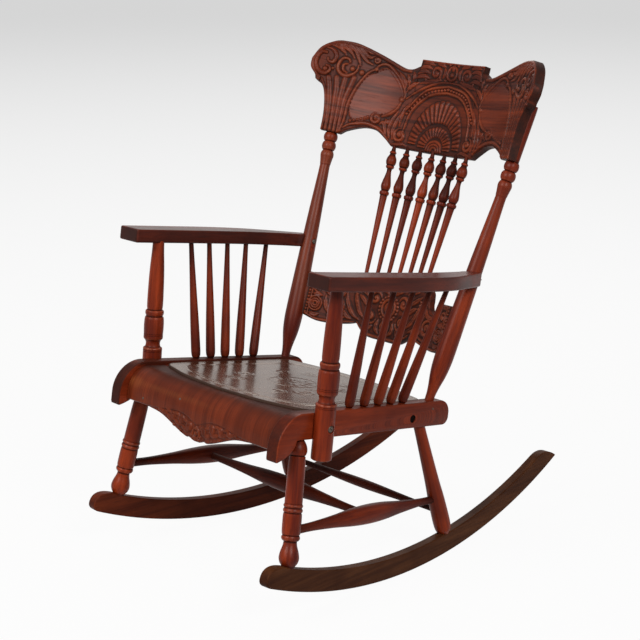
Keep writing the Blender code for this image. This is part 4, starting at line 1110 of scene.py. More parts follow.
@dataclass
class Underframe(Assembly):
    """Two sawn rockers, four turned legs and four turned stretchers."""

    radius: float = 1.01965
    balance: float = -0.022
    top_radius: float = 0.97725
    top_centre: float = -0.0181
    front: float = -0.459
    tail: float = 0.459
    thickness: float = 0.022
    rounding: float = 0.0026
    tail_sweep: float = 0.070
    tail_crown: float = 0.48
    front_depth: float = 0.0445
    nose_length: float = 0.045
    nose_low: float = 0.0160
    toe_round: float = 0.016
    leg_radius: float = 0.018
    leg_slim: float = 0.0115
    front_leg_at: Pair = (-0.387, -0.074)
    rear_leg_at: Pair = (0.079, 0.275)
    side_heights: Pair = (0.068, 0.080)
    rear_height: float = 0.050
    cross_share: float = 0.49
    swelling: Path = ((0.10, 0.03), (0.25, 0.36), (0.38, 0.80), (0.50, 1.0), (0.62, 0.86), (0.75, 0.42),
                      (0.90, 0.05))
    legs: dict[str, tuple[Points, Points]] = field(default_factory=dict)

    def floor_at(self, u: Points) -> Points:
        """Height of the floor arc."""
        return self.radius - np.sqrt(self.radius ** 2 - (u - self.balance) ** 2)

    def top_at(self, u: Points) -> Points:
        """Height of the upper arc."""
        return self.radius - np.sqrt(self.top_radius ** 2 - (u - self.top_centre) ** 2)

    def outline(self) -> Points:
        """Smooth floor arc, swept tail, upper arc and rounded nose."""
        u = np.linspace(self.front, self.tail, 90)
        floor = np.column_stack([u, self.floor_at(u)])
        toe = self.front + self.toe_round
        start = self.tail - self.tail_sweep
        slope = math.tan(math.asin((start - self.top_centre) / self.top_radius))
        crown = start + self.tail_sweep * self.tail_crown
        high = self.top_at(start)
        tail = swept(floor[-1], (crown, high + slope * (crown - start)), (start, high), 16)
        low = math.asin((self.front - self.balance) / self.radius)
        way = np.array([-math.sin(low), math.cos(low)])
        corner = floor[0] + way * self.front_depth
        nose_end = corner[0] + self.nose_length
        u = np.linspace(start, nose_end, 70)[1:-1]
        top = np.column_stack([u, self.top_at(u)])
        nose = swept((nose_end, self.top_at(nose_end)), (corner[0], self.top_at(corner[0])),
                     floor[0] + way * self.nose_low, 16)
        chin = swept(nose[-1], floor[0], (toe, self.floor_at(np.array(toe))), 10)
        return np.vstack([floor[floor[:, 0] > toe + 0.002], tail[1:], top, nose, chin[1:]])

    def rocker(self, side: str, sign: float) -> None:
        """One rocker."""
        item = SawnBoard(f"rocker_board_{side}", self.outline(), self.thickness, PLAN.rocker_place(sign),
                         self.rounding, seed=0.7 * sign).build()
        finish_piece(item, self.finishes.rockers[side], Slot.WOOD, f"rocker_{side}")

    def leg_line(self, sign: float, foot: float, top: float) -> tuple[Points, Points]:
        """Line of a leg.

        Args:
            sign: Side of the chair.
            foot: Place along the rocker.
            top: Place along the rail.

        Returns:
            Both ends of the leg's line.
        """
        low = PLAN.rocker_place(sign)(foot, self.top_at(np.array(foot)), 0.0)[0]
        return low, SEAT.place(sign * PLAN.socket_x(top), top, -PLAN.rail_height)[0]

    def front_leg(self, side: str, sign: float) -> None:
        """Front leg: bulb foot, ring, barrel, two rings, shaft, groove and dome."""
        line = self.legs[f"front_{side}"] = self.leg_line(sign, *self.front_leg_at)
        r = span(*line)
        runs = [sized(run, self.leg_radius) for run in (
            [(-0.004, 0.58), (0.001, 0.68), (0.008, 0.95), (0.017, 1.08), (0.028, 0.99), (0.040, 0.78),
             (0.049, 0.70)],
            [(0.0495, 0.78), (0.052, 0.93), (0.0555, 1.0), (0.059, 0.95), (0.0605, 0.87)],
            [(0.061, 0.87), (0.0625, 0.96), (0.070, 1.0), (0.094, 1.01), (0.1015, 0.98)],
            [(0.102, 0.92), (0.1035, 0.92)],
            [(0.104, 0.98), (0.1075, 1.05), (0.111, 0.97), (0.1118, 0.93)],
            [(0.1125, 0.93), (0.1135, 0.98), (0.1165, 1.04), (0.1195, 0.96)],
            [(0.120, 0.92), (0.126, 0.95), ((0.126 + r) / 2, 0.92), (r - 0.034, 0.86)],
            [(r - 0.0335, 0.79), (r - 0.0315, 0.79)],
            [(r - 0.031, 0.88), (r - 0.024, 0.99), (r - 0.015, 0.93), (r - 0.007, 0.73), (r - 0.001, 0.50),
             (r + 0.006, 0.44)])]
        # Darker towards the foot and more so towards the top.
        self.turn(f"front_leg_{side}", line, runs, 44, 1.1 * sign,
                  ((0.0, -0.45), (0.10, -0.15), (0.3, 0.0), (0.68, 0.0), (0.82, -0.34), (1.0, -0.6)))

    def rear_leg(self, side: str, sign: float) -> None:
        """Rear leg: plain taper, thick and rounded near the rocker."""
        line = self.legs[f"rear_{side}"] = self.leg_line(sign, *self.rear_leg_at)
        r, f, slim = span(*line), self.leg_radius, self.leg_slim
        foot = sized([(-0.004, 0.56), (0.001, 0.68), (0.006, 0.86), (0.014, 0.96), (0.034, 1.0),
                      (0.080, 0.95)], f)
        shaft = [(r / 2, (f + slim) / 2), (r - 0.03, slim * 1.04), (r + 0.006, slim)]
        self.turn(f"rear_leg_{side}", line, [[*foot, *shaft]], 40, 2.3 * sign)

    def stretcher(self, node: str, ends: tuple[Points, Points], radii: Pair, middle: float,
                  reach: float, stain_and_shade: float = 0.0) -> None:
        """Spindle shaped stretcher between two legs or stretchers.

        Args:
            node: Solid it stands for.
            ends: Points on the axes of its two hosts.
            radii: Radius at each end.
            middle: Radius in the middle.
            reach: Length hidden in each host.
            stain_and_shade: Darkening all along it, painted shade for the stretchers that lie under the seat.
        """
        length = span(*ends)
        run = [(0.003, radii[0]), (reach, radii[0])]
        for share, swell in self.swelling:
            base = radii[0] + (radii[1] - radii[0]) * share
            run.append((reach + (length - 2 * reach) * share, base + (middle - base) * swell))
        run += [(length - reach, radii[1]), (length - 0.003, radii[1])]
        # Darker towards both ends, and all along by the value given.
        self.turn(node, ends, [run], 36, len(node) * 0.37,
                  ((0.0, -0.85), (0.12, stain_and_shade - 0.5), (0.5, stain_and_shade - 0.28), (0.88, stain_and_shade - 0.5), (1.0, -0.85)))

    def build(self) -> None:
        """Make every piece of the underframe."""
        middles = []
        lows = []
        for side, sign in SIDES.items():
            self.rocker(side, sign)
            self.front_leg(side, sign)
            self.rear_leg(side, sign)
            front = along(*self.legs[f"front_{side}"], self.side_heights[0])
            rear = along(*self.legs[f"rear_{side}"], self.side_heights[1])
            self.stretcher(f"side_stretcher_{side}", (front, rear), radii=(0.0085, 0.0075), middle=0.0195,
                           reach=0.018)
            middles.append(front + (rear - front) * self.cross_share)
            lows.append(along(*self.legs[f"rear_{side}"], self.rear_height))
        # Painted shade: the cross and rear stretchers, under the seat, are painted darker.
        self.stretcher("cross_stretcher", tuple(middles), radii=(0.0077, 0.0077), middle=0.0172,
                       reach=0.0195, stain_and_shade=-0.24)
        self.stretcher("rear_stretcher", tuple(lows), radii=(0.006, 0.006), middle=0.010, reach=0.018,
                       stain_and_shade=-0.30)


# Seat


@dataclass
class SeatAssembly(Assembly):
    """Scrolled rails, bent front roll with its carved apron, embossed panel and cross rails."""

    fine: bool = True
    scroll_front: float = -0.146
    scroll_centre: float = -0.081
    scroll_radius: float = 0.065
    scroll_low: float = 0.091
    scroll_heel: float = -0.095
    rail_rear: float = 0.346
    rear_round: float = 0.028
    rail_rounding: float = 0.0030
    roll_front: float = -0.128
    roll_top: float = 0.0083
    roll_middle: float = -0.0583
    roll_centre: float = -0.085
    roll_depth: float = 0.043
    roll_rise: float = 0.050
    roll_rear: float = -0.0403
    roll_hang: float = 0.0547
    roll_bow: float = 0.002
    roll_thickness: float = 0.009
    apron_low: float = -0.077
    apron_drop: float = 0.036
    apron_half: float = 0.155
    panel_half: float = 0.2200
    panel_thickness: float = 0.005
    panel_gap: float = 0.0008
    panel_sunk: float = 0.0030
    cross_width: float = 0.022
    cross_height: float = 0.040

    def rail_outline(self) -> Points:
        """Scroll in front, straight top and bottom, rounded rear end."""
        turn = math.pi / 2
        low = (PLAN.rail_height - self.rear_round) * 0.7
        heel, tip = (self.scroll_heel, -PLAN.rail_height), (self.scroll_front + 0.0015, -self.scroll_low)
        middle = (heel[0] - (heel[0] - tip[0]) * 0.1,
                  -PLAN.rail_height - (self.scroll_low - PLAN.rail_height) * 0.7)
        return np.vstack([
            arc((self.scroll_centre, -self.scroll_radius), self.scroll_radius, math.pi, turn, 40),
            arc((self.rail_rear - self.rear_round, -self.rear_round), self.rear_round, turn, 0, 16),
            arc((self.rail_rear - low, low - PLAN.rail_height), low, 0, -turn, 12),
            swept(heel, middle, tip, 20),
            [(self.scroll_front, -0.0845)]])

    def rail(self, side: str, sign: float) -> None:
        """One rail."""
        half, skin = PLAN.rail_thickness / 2, 1e-4
        # Painted shade: the left rail, on the far side, is painted darker than the right.
        top_shade, scroll_front_shade = (-0.70, -0.80) if sign < 0 else (-0.25, -0.55)
        inner_shade, worn = -0.75, 0.45

        def shade(u: Points, v: Points, t: Points) -> Points:
            """Painted shade over the front of the scroll, along the top and inside, deeper on the left rail;
            worn edges outside.
            """
            dirt_and_shade = np.minimum(np.where(v > -0.002, top_shade, 0.0),
                              scroll_front_shade * np.clip((-0.085 - u) / 0.03, 0, 1))
            inside = np.where((t * sign < 0.0034 - half) & (v > -0.006), inner_shade, 0.0)
            dirt_and_shade = np.where(np.abs(t) < half - skin, np.minimum(dirt_and_shade, inside), inside)
            return np.where((t * sign > half - 0.0026) & (t * sign < half - skin), worn, dirt_and_shade)
        item = SawnBoard(f"rail_board_{side}", self.rail_outline(), PLAN.rail_thickness,
                         PLAN.rail_place(sign), self.rail_rounding, seed=1.9 * sign, shade=shade).build()
        finish_piece(item, self.finishes.board, Slot.WOOD, f"seat_rail_{side}")

    def cross_rail(self, node: str, start: float) -> None:
        """Plain rail under the panel, from one side rail to the other."""
        half, width = float(PLAN.inner_x(start)), self.cross_width
        top, low = -self.roll_top, -self.roll_top - self.cross_height

        def place(u: Points, v: Points, t: Points) -> Points:
            """World places by the run across, the height and the place in its width."""
            l = start + width / 2 + t
            return SEAT.place(u / half * PLAN.inner_x(l), l, v)
        outline = np.array([(-half, low), (half, low), (half, top), (-half, top)])
        item = SawnBoard(f"plain_{node}", outline, width, place, edge=0.0012, seed=8.7 + start).build()
        finish_piece(item, self.finishes.board, Slot.WOOD, node)

    def roll_section(self) -> Points:
        """Face of the roll from its rear edge, over the front and down."""
        a = np.linspace(0, math.pi / 2, 40)
        bend = np.column_stack([self.roll_centre - self.roll_depth * np.sin(a),
                                self.roll_middle + self.roll_rise * np.cos(a)])
        share = np.linspace(0, 1, 24)[1:]
        hang = np.column_stack([self.roll_front + self.roll_bow * share ** 2,
                                self.roll_middle - self.roll_hang * share])
        return np.vstack([[(self.roll_rear, -self.roll_top)], bend, hang])

    def apron_edge(self, x: Points) -> Points:
        """Height of the roll's scalloped lower edge."""
        run = np.vstack([
            through([(0.0, 1.0), (0.05, 1.0), (0.08, 0.97)], 6), through([(0.155, 0.86), (0.165, 0.86)], 2),
            through([(0.17, 0.90), (0.22, 0.90), (0.36, 0.72), (0.71, 0.17), (1.0, 0.0)], 8), [(3.0, 0.0)]])
        return self.apron_low - self.apron_drop * np.interp(np.abs(x), run[:, 0] * self.apron_half, run[:, 1])

    def apron_relief(self, s: Points, v: Points) -> Points:
        """Pressed foliage along the apron, under a ridge that follows the roll."""
        section = self.roll_section()
        length = run_length(section)
        height = np.interp(v, length, section[:, 1]) * 1000
        carving = Carving(s * 1000, height)
        top = [(0, -79), (14, -74), (36, -66), (62, -64), (90, -67), (118, -71), (150, -74), (190, -75),
               (224, -75)]
        line = through(top, 8)
        carving.h = -1.3 * np.clip((np.interp(carving.s, line[:, 0], line[:, 1]) - height) / 1.6, 0, 1)
        carving.groove([(x, h - 1) for x, h in top], 1.6, 0.9, (1, 1))
        for x, h, r in ((22, -88, 9), (46, -79, 9), (72, -76, 7.5), (96, -76, 5)):
            carving.scroll((x, h), (r, r * 0.35), 200, -420, r * 0.34, 1.2, r * 0.40)
        for x, h in ((34, -97), (56, -91), (80, -85), (104, -79)):
            carving.leaf([(x - 13, h + 1), (x, h + 2.5), (x + 14, h + 8)], 4.2, 1.1)
        for x, h in ((33, -78), (60, -70), (86, -70), (112, -74)):
            carving.leaf([(x - 8, h - 3), (x, h), (x + 9, h + 1)], 3.0, 1.0)
        carving.ring((0, -96), 10, 2.6, 1.2)
        carving.bead((0, -96), 5.0, 1.6)
        for x, h in ((9, -108), (0, -83), (14, -101), (47, -101), (70, -94)):
            carving.bead((x, h), 3.0, 1.0)
        carving.leaf([(0, -105), (1.5, -109), (2, -112)], 3.4, 1.2)
        return carving.h / 1000

    def roll_place(self, s: Points, v: Points, d: Points) -> Points:
        """World places by the run across, the run down the roll's face and the depth under it."""
        section = self.roll_section()
        length = run_length(section)
        tangent = np.gradient(section, length, axis=0)
        l, h = np.interp(v, length, section[:, 0]), np.interp(v, length, section[:, 1])
        tl, th = np.interp(v, length, tangent[:, 0]), np.interp(v, length, tangent[:, 1])
        size = np.hypot(tl, th)
        l, h = l - d * th / size, h + d * tl / size
        return SEAT.place(s / float(PLAN.inner_x(self.roll_front)) * PLAN.inner_x(l), l, h)

    def on_roll(self, s: float, v: float) -> tuple[Points, Points]:
        """A place on the roll's face and the direction into it."""
        face, under = self.roll_place(np.array([s, s]), np.array([v, v]), np.array([0.0, 0.01]))
        return face, (under - face) / 0.01

    def roll(self) -> None:
        """Bent front panel between the scrolls."""
        section = self.roll_section()
        length = run_length(section)
        half = float(PLAN.inner_x(self.roll_front))

        def shade(s: Points, v: Points) -> Points:
            """Painted shade where the roll meets the panel, a painted highlight along its bend and a worn
            patch, both most at its left end.
            """
            # Painted shade: darkest at the top, where the roll meets the panel.
            dark = -0.85 * np.clip(1 - (v - 0.040) / 0.055, 0, 1)
            patch = np.exp(-((s + 0.205) / 0.020) ** 2 - ((v - 0.095) / 0.030) ** 2)
            # Painted highlight: a band along the bend, fading towards the right end.
            highlight_band = np.exp(-((v - 0.094) / 0.012) ** 2) * np.clip(0.9 - s / 0.20, 0.2, 1.0)
            return dark + 0.45 * patch + 0.5 * highlight_band
        stations = np.linspace(-half, half, 301 if self.fine else 121)
        edge = np.interp(-self.apron_edge(stations), -section[:, 1], length)
        item = CarvedBoard(
            "carved_front_roll", stations, np.zeros(len(stations)), edge, 110 if self.fine else 60,
            self.apron_relief, self.roll_place, self.roll_thickness, ground=0.0, rim=0.0028,
            grain_turned=True, shade=shade, contrast=0.5).build()
        finish_piece(item, self.finishes.roll, Slot.WOOD, "front_roll")

    def emboss(self, s: Points, v: Points) -> Points:
        """Faint pressed border and medallion of the seat panel."""
        carving = Carving(s * 1000, v * 1000)
        border = [(0, -62), (90, -52), (165, -26), (188, 10), (184, 130), (176, 240), (150, 272), (80, 290),
                  (0, 296)]
        carving.ridge(border, 3.0, 0.7, (1, 1))
        carving.ridge([(x * 0.945, 115 + (l - 115) * 0.945) for x, l in border], 1.6, 0.5, (1, 1))
        centre = (0.0, 120.0)
        carving.ring(centre, 52, 2.4, 0.6)
        carving.bead(centre, 9, 0.7)
        for turn in range(-90, 91, 30):
            a = math.radians(turn)
            carving.leaf([(centre[0] + reach * math.cos(a), centre[1] + reach * math.sin(a))
                          for reach in (12, 30, 46)], 6.5, 0.7)
        for x, l, turn in ((92, 70, 200), (92, 172, 160), (60, 20, 250), (60, 222, 110)):
            carving.scroll((x, l), (24, 7), turn, 400, 4.0, 0.6, 6)
        carving.beads([(70, 95), (82, 120), (70, 146)], 9, 3, 0.5)
        return carving.h / 1000

    def panel(self) -> None:
        """Thin embossed panel that lies on the roll and the cross rails."""
        width = self.panel_half
        front = np.vstack([through([(0.0, -0.088), (0.5, -0.0759), (0.86, -0.0520)], 10),
                           swept((0.86, -0.0520), (0.985, -0.0420), (0.988, -0.010), 12)[1:], [(1.0, 0.010)]])
        rear = np.vstack([through([(0.0, 0.318), (0.5, 0.3105), (0.902, 0.294)], 10),
                          swept((0.902, 0.294), (1.0, 0.288), (1.0, 0.268), 10)[1:]])
        half = np.concatenate([np.linspace(0, 0.865, 90 if self.fine else 40), np.linspace(0.87, 0.96, 12),
                               np.linspace(0.965, 1.0, 12)])
        shares = mirrored(half)
        front[:, 0] += np.linspace(0, 1e-6, len(front))
        rear[:, 0] += np.linspace(0, 1e-6, len(rear))
        low, high = (np.interp(np.abs(shares), *edge.T) for edge in (front, rear))

        def place(s: Points, v: Points, d: Points) -> Points:
            """World places by the share across, the run to the rear and the depth."""
            return SEAT.place(s / width * (PLAN.inner_x(v) - self.panel_gap), v, -self.panel_sunk - d)

        def shade(s: Points, v: Points) -> Points:
            """Painted shade along the edges of the panel."""
            near, far = (np.interp(np.abs(s) / width, *edge.T) for edge in (front, rear))
            gap = np.minimum(width - np.abs(s), np.minimum(v - near, far - v))
            return -1.0 * np.clip(1.15 - gap / 0.006, 0, 1)
        # Rear faces at tone -1, so the panel's edge faces carry painted shade too.
        item = CarvedBoard(
            "embossed_seat_panel", shares * width, low, high, 190 if self.fine else 60, self.emboss, place,
            self.panel_thickness, ground=0.0004, rim=0.0022, shade=shade, rear_tone=-1.0).build()
        finish_piece(item, self.finishes.seat, Slot.SEAT, "seat_panel")

    def build(self) -> None:
        """Make every piece of the seat."""
        for side, sign in SIDES.items():
            self.rail(side, sign)
        self.cross_rail("front_seat_rail", -0.040)
        self.cross_rail("rear_seat_rail", 0.236)
        self.roll()
        self.panel()


# Back


@dataclass
class BackAssembly(Assembly):
    """Turned back posts, carved bent crest, carved bent splat and seven turned spindles."""

    fine: bool = True
    post_foot: float = 0.297
    post_top: float = 0.2645
    post_depth: float = 0.0238
    post_radius: float = 0.0195
    neck_radius: float = 0.0115
    bead_radius: float = 0.0156
    bead_pitch: float = 0.0205
    crest_thickness: float = 0.021
    crest_low: float = -0.0132
    crest_leg_end: float = -0.0095
    splat_thickness: float = 0.016
    splat_forward: float = 0.010
    splat_top: float = -0.298
    splat_shoulder: float = -0.321
    notch_radius: float = 0.026
    spindle_radius: float = 0.0103
    foot_pitch: float = 0.0295
    foot_depth: float = -0.002
    top_pitch: float = 0.035
    top_depth: float = 0.0058
    shell_shade: float = -0.24
    block_shade: float = -0.36
    rim_shade: float = -0.9
    splat_dim: float = -0.05
    swell: float = 1.2
    stains: Sequence[float] = (-0.12, -0.30, -0.32, 0.02, -0.34, -0.38, -0.06)
    posts: dict[str, tuple[Points, Points]] = field(default_factory=dict)
    profile: Points = field(default_factory=lambda: np.zeros((2, 2)))

    def post(self, side: str, sign: float) -> None:
        """Back post: slim foot, swelling, long taper into a vase, two beads and a tang behind the crest."""
        low = SEAT.place(sign * PLAN.socket_x(self.post_foot), self.post_foot, 0.0)[0]
        high = BACK.place(sign * self.post_top, self.crest_leg_end, self.post_depth)[0]
        self.posts[side] = (low, high)
        r, f, neck, bead, size = (span(low, high), self.post_radius, self.neck_radius, self.bead_radius,
                                  self.bead_pitch)
        beads = r - 3 * size
        runs: list[Path] = [[
            (-0.006, 0.009), (0.006, 0.0092), (0.016, 0.0100),
            *sized([(0.030, 0.62), (0.055, 0.86), (0.080, 0.98), (0.105, 1.0), (0.150, 0.96)], f),
            ((0.150 + beads) / 2, (f + neck) / 2), (beads - 0.026, neck), (beads - 0.010, neck * 1.04),
            *sized([(0.003, 0.88), (0.010, 0.95), (0.016, 0.88)], bead, beads), (beads + 0.0200, neck)]]
        for count in (1, 2):
            at = beads + count * size
            swell = [(0.10, 0.86), (0.30, 0.97), (0.50, 1.0), (0.72, 0.96), (0.92, 0.84)]
            runs.append([(at, neck * 0.96), *((at + share * size, bead * full) for share, full in swell),
                         (at + 0.985 * size, neck * 0.96)])
        runs.append([(r, neck), (r + 0.05, neck), (r + 0.112, neck * 0.98), (r + 0.118, neck * 0.8)])
        # Lighter along the middle: wear, and on the left post more so as a painted highlight.
        worn = 0.55 if sign < 0 else 0.30
        self.profile = self.turn(
            f"back_post_{side}", (low, high), runs, 44, 3.1 * sign,
            ((0.0, -0.3), (0.10, 0.1), (0.25, worn), (0.72, worn), (0.82, 0.0), (1.0, 0.0)))

    def crest_edges(self, s: Points) -> tuple[Points, Points]:
        """Lower and upper edge of the crest at places along the bend."""
        x = np.abs(s)
        arch = through([(0.115, self.crest_low), (0.13659, 0.00217), (0.16072, 0.01464), (0.1912, 0.0158),
                        (0.22676, 0.00217), (0.242, self.crest_leg_end)], 10)
        neck = through([(0.287, self.crest_leg_end), (0.28871, 0.0277), (0.29669, 0.0653), (0.30695, 0.0871),
                        (0.3212, 0.0955), (0.3262, 0.0985)], 10)
        ear = through([(0.3262, 0.0985), (0.3292, 0.1075), (0.3423, 0.1222), (0.344, 0.1417)], 10)
        lobe = through([(0.344, 0.1417), (0.3286, 0.171), (0.2995, 0.1905), (0.2715, 0.195), (0.2417, 0.1936),
                        (0.1838, 0.179), (0.1311, 0.162), (0.110, 0.161), (0.0893, 0.1715)], 10)[::-1]
        low = np.vstack([[(0.0, self.crest_low)], arch, neck, ear[1:]])
        high = np.vstack([[(0.0, 0.186), (0.0889, 0.186)], lobe])
        return edge_at(x, low), edge_at(x, high)

    def crest_relief(self, s: Points, v: Points) -> Points:
        """Pressed ornament of the crest: shell, beaded arch, panels, scrolls, leaves and reeds."""
        c = Carving(s * 1000, v * 1000, self.swell)
        self.crest_border(c)
        self.crest_ear(c)
        self.crest_middle(c)
        self.crest_block(c)
        return c.h / 1000

    def crest_border(self, c: Carving) -> None:
        """Plain panels, the ridges round them and the smooth rim of the outline."""
        panel = [(193, 138), (208, 130), (222, 106), (231, 80), (234, 50), (226, 30), (205, 24), (185, 34),
                 (163, 47), (140, 55), (122, 70), (112, 88), (110, 104), (118, 120), (133, 136), (152, 150),
                 (174, 150)]
        c.field_of(panel, 1.4, 3.0)
        rim = [(319, 103), (329, 110), (338, 123), (340, 141), (326, 168), (299, 186.5), (271, 191),
               (241, 189.5), (212, 183.5), (184, 175), (156, 166), (131, 157.5), (111, 156)]
        c.ridge(rim, 4.4, 3.6, (0.9, 0.9))
        c.ridge([(196, 145), (210, 134), (223, 112), (233, 86), (239, 56), (239, 24), (243, -4)], 3.8, 3.6)
        c.ridge([(196, 147), (184, 158), (168, 160), (150, 150), (129, 133), (115, 115), (109, 99),
                 (113, 90)], 3.6, 3.4)
        c.ridge([(188, 143), (178, 150), (166, 152), (152, 142), (135, 127), (122, 111), (116, 98)], 1.5, 2.0)
        c.bead((193, 146), 5.4, 4.2)
        c.bead((115, 91), 6.2, 4.0)
        c.ridge([(115, 84), (122, 68), (136, 55), (152, 47)], 3.6, 3.4)
        c.ridge([(236, 6), (226, 14), (206, 21), (188, 25), (168, 23), (150, 17), (136, 8), (124, -3)],
                3.6, 3.0)
        c.scroll((166, 40), (13, 4.5), 100, -420, 3.6, 3.6, 4.8)
        c.beads([(224, 24), (206, 30), (190, 37), (182, 42)], 8.4, 3.6, 3.2)

    def crest_ear(self, c: Carving) -> None:
        """Two scrolls, their crescents, sweeping strands and the reeds that run down the leg."""
        c.ridge([(315, 160), (324, 159), (331, 150), (333, 133), (324, 118), (308, 114), (299, 122),
                 (301, 130), (308, 132)], 4.5, 4.4, (0.7, 0.6))
        c.bead((309, 124), 5.8, 4.6)
        c.ridge([(316, 171), (304, 170), (294, 163), (291, 152), (296, 142), (306, 143), (309, 149)],
                4.4, 4.0, (0.4, 0.5))
        c.bead((292.5, 128.5), 3.4, 3.2)
        c.ridge([(257, 150), (262, 156), (272, 156), (280, 147), (282, 133), (274, 122), (260, 118),
                 (246, 124), (237, 135), (236, 147)], 4.2, 4.2, (0.6, 0.4))
        c.bead((248, 136), 5.8, 4.6)
        c.ridge([(262, 145), (270, 141), (269, 130), (259, 125)], 3.2, 3.6, (0.5, 0.5))
        c.bead((225, 132), 6.2, 4.2)
        strands = (
            [(308, 180), (296, 179), (284, 175), (275, 169), (270, 163)],
            [(300, 184), (284, 182), (266, 176), (256, 168), (250, 160)],
            [(290, 187), (274, 187), (260, 182), (250, 175), (243, 166)],
            [(276, 188), (262, 185), (250, 176), (239, 160), (232, 147)],
            [(262, 189), (248, 183), (236, 173), (220, 160), (204, 154)],
            [(246, 188), (234, 181), (222, 172), (212, 169), (203, 174)],
            [(232, 186), (220, 182), (206, 177)])
        for strand in strands:
            c.leaf(strand, 4.0, 4.0, (0.5, 0.35))
        c.scroll((195, 166), (7.5, 3), 60, -400, 2.8, 3.6, 3.2)
        reeds = (
            [(297, 107), (290, 85), (283, 55), (278, 20), (276, -6)],
            [(279, 110), (274, 88), (271, 59), (267.5, 24), (266, -6)],
            [(259.5, 112), (260, 90), (260, 62), (258, 26), (256.5, -6)],
            [(240, 117), (244, 94), (249, 66), (248.5, 30), (247, -6)])
        for reed in reeds:
            c.ridge(reed, 7.0, 3.8, (0.75, 0.9), 0.52)
        c.ridge([(311, 101), (301, 84), (292, 60), (285.5, 24), (284, -8)], 3.4, 3.2)
        c.bead((320, 100), 5.4, 4.4)

    def crest_middle(self, c: Carving) -> None:
        """Shell under its beaded arch and the volutes and leaves beside it."""
        centre = (0.0, 28.0)
        c.ridge(spiral(centre, (93, 93), -4, 98), 3.0, 3.6, (0.8, 1.0))
        c.ridge(spiral(centre, (107.5, 107.5), 22, 72), 2.8, 3.4, (0.8, 1.0))
        c.beads(spiral(centre, (100.3, 100.3), 20, 72), 8.6, 3.4, 3.4)
        c.ridge([(0, 142), (30, 139), (60, 127), (85, 111), (104, 95)], 2.8, 3.0)
        c.fan((0, 0), 53, (74, 103), 21, 3.6)
        c.fan((0, -3), 25, (47, 48), 15, 3.2)
        for radius in (8.0, 14.5, 21.0):
            c.ridge(spiral((0, -8), (radius, radius), 0, 90), 2.8, 3.2, (1, 1))
        c.scroll((98, 13), (16, 4.5), 88, -430, 3.8, 3.8, 5.0)
        for strand, width, height in (
                ([(114, 2), (118, 22), (114, 42), (106, 64)], 4.8, 3.6),
                ([(124, 4), (129, 24), (125, 44), (116, 66)], 4.4, 3.4),
                ([(105, 34), (105, 52), (101, 70), (92, 86)], 4.0, 3.2),
                ([(134, 10), (140, 24), (146, 34), (156, 28)], 4.2, 3.2)):
            c.leaf(strand, width, height, (0.4, 0.2))
        for strand, width, height in (
                ([(132, 44), (136, 36), (144, 44)], 3.6, 3.0),
                ([(76, -7), (86, -4), (102, -7), (114, -8)], 3.4, 2.8),
                ([(108, 108), (104, 118), (94, 128), (82, 134)], 4.4, 3.4),
                ([(112, 118), (116, 130), (126, 140), (138, 150)], 4.2, 3.4),
                ([(106, 124), (110, 138), (116, 148)], 3.8, 3.2),
                ([(100, 136), (98, 146), (102, 156)], 3.6, 3.0)):
            c.leaf(strand, width, height)

    def crest_block(self, c: Carving) -> None:
        """Scrolling foliage of the raised block in the middle."""
        c.scroll((44, 160), (14, 4.5), 250, -430, 3.8, 3.3, 5.2)
        strands = (
            [(28, 146), (46, 141), (64, 138), (80, 133)], [(60, 147), (72, 150), (84, 148), (94, 142)],
            [(60, 158), (72, 161), (84, 158), (92, 151)], [(58, 168), (70, 171), (82, 168), (88, 162)],
            [(54, 177), (68, 180), (84, 178)], [(24, 151), (20, 162), (24, 173)],
            [(24, 176), (34, 180), (46, 180)], [(0, 168), (0, 176), (0, 182)])
        for strand in strands:
            c.leaf(strand, 4.4, 3.1, (0.4, 0.2))
        c.ridge([(0, 147), (9, 151), (13, 160), (10, 171), (4, 178)], 3.2, 3.6, (0.8, 0.5))
        c.bead((0, 159), 5.6, 4.2)
        for place in ((16, 146), (32, 150), (68, 143), (12, 180)):
            c.bead(place, 3.2, 3.0)
        c.ridge([(0, 184), (40, 184), (87, 184)], 2.4, 2.6, (1, 0.8))

    def crest_shade(self, s: Points, v: Points) -> Points:
        """Shell and block darker, and painted shade on the rim of the right ear."""
        low, high = self.crest_edges(s)
        shell = np.clip(1.25 - np.hypot(s / 0.088, v / 0.116) ** 4, 0, 1)
        block = np.clip((v - 0.128) / 0.016, 0, 1) * np.clip((0.110 - np.abs(s)) / 0.016, 0, 1)
        rim = np.clip(1 - np.minimum(v - low, high - v) / 0.0035, 0, 1) * (s > 0.286)
        return self.shell_shade * shell + self.block_shade * block + self.rim_shade * rim

    def crest(self) -> None:
        """Bent, carved crest rail."""
        step = 0.00135 if self.fine else 0.004
        half = np.concatenate([np.arange(0, 0.0887, step), [0.0888, 0.0893], np.arange(0.0905, 0.2415, step),
                               np.arange(0.242, 0.2868, step), np.arange(0.2869, 0.2925, step * 0.4),
                               np.arange(0.293, 0.3436, step * 0.6), [0.34385]])
        stations = mirrored(half)
        # Rear faces at tone -0.8 paint the crest's edge faces dark as shade; the sunk ground carries painted
        # shade and soiling.
        item = CarvedBoard(
            "carved_crest_rail", stations, *self.crest_edges(stations), 150 if self.fine else 50,
            self.crest_relief, BACK.place, self.crest_thickness, ground=0.0034, rim=0.0040,
            shade=self.crest_shade, contrast=0.65, sunk_dirt_and_shade=0.34, rear_tone=-0.8).build()
        finish_piece(item, self.finishes.carved, Slot.WOOD, "crest_rail")

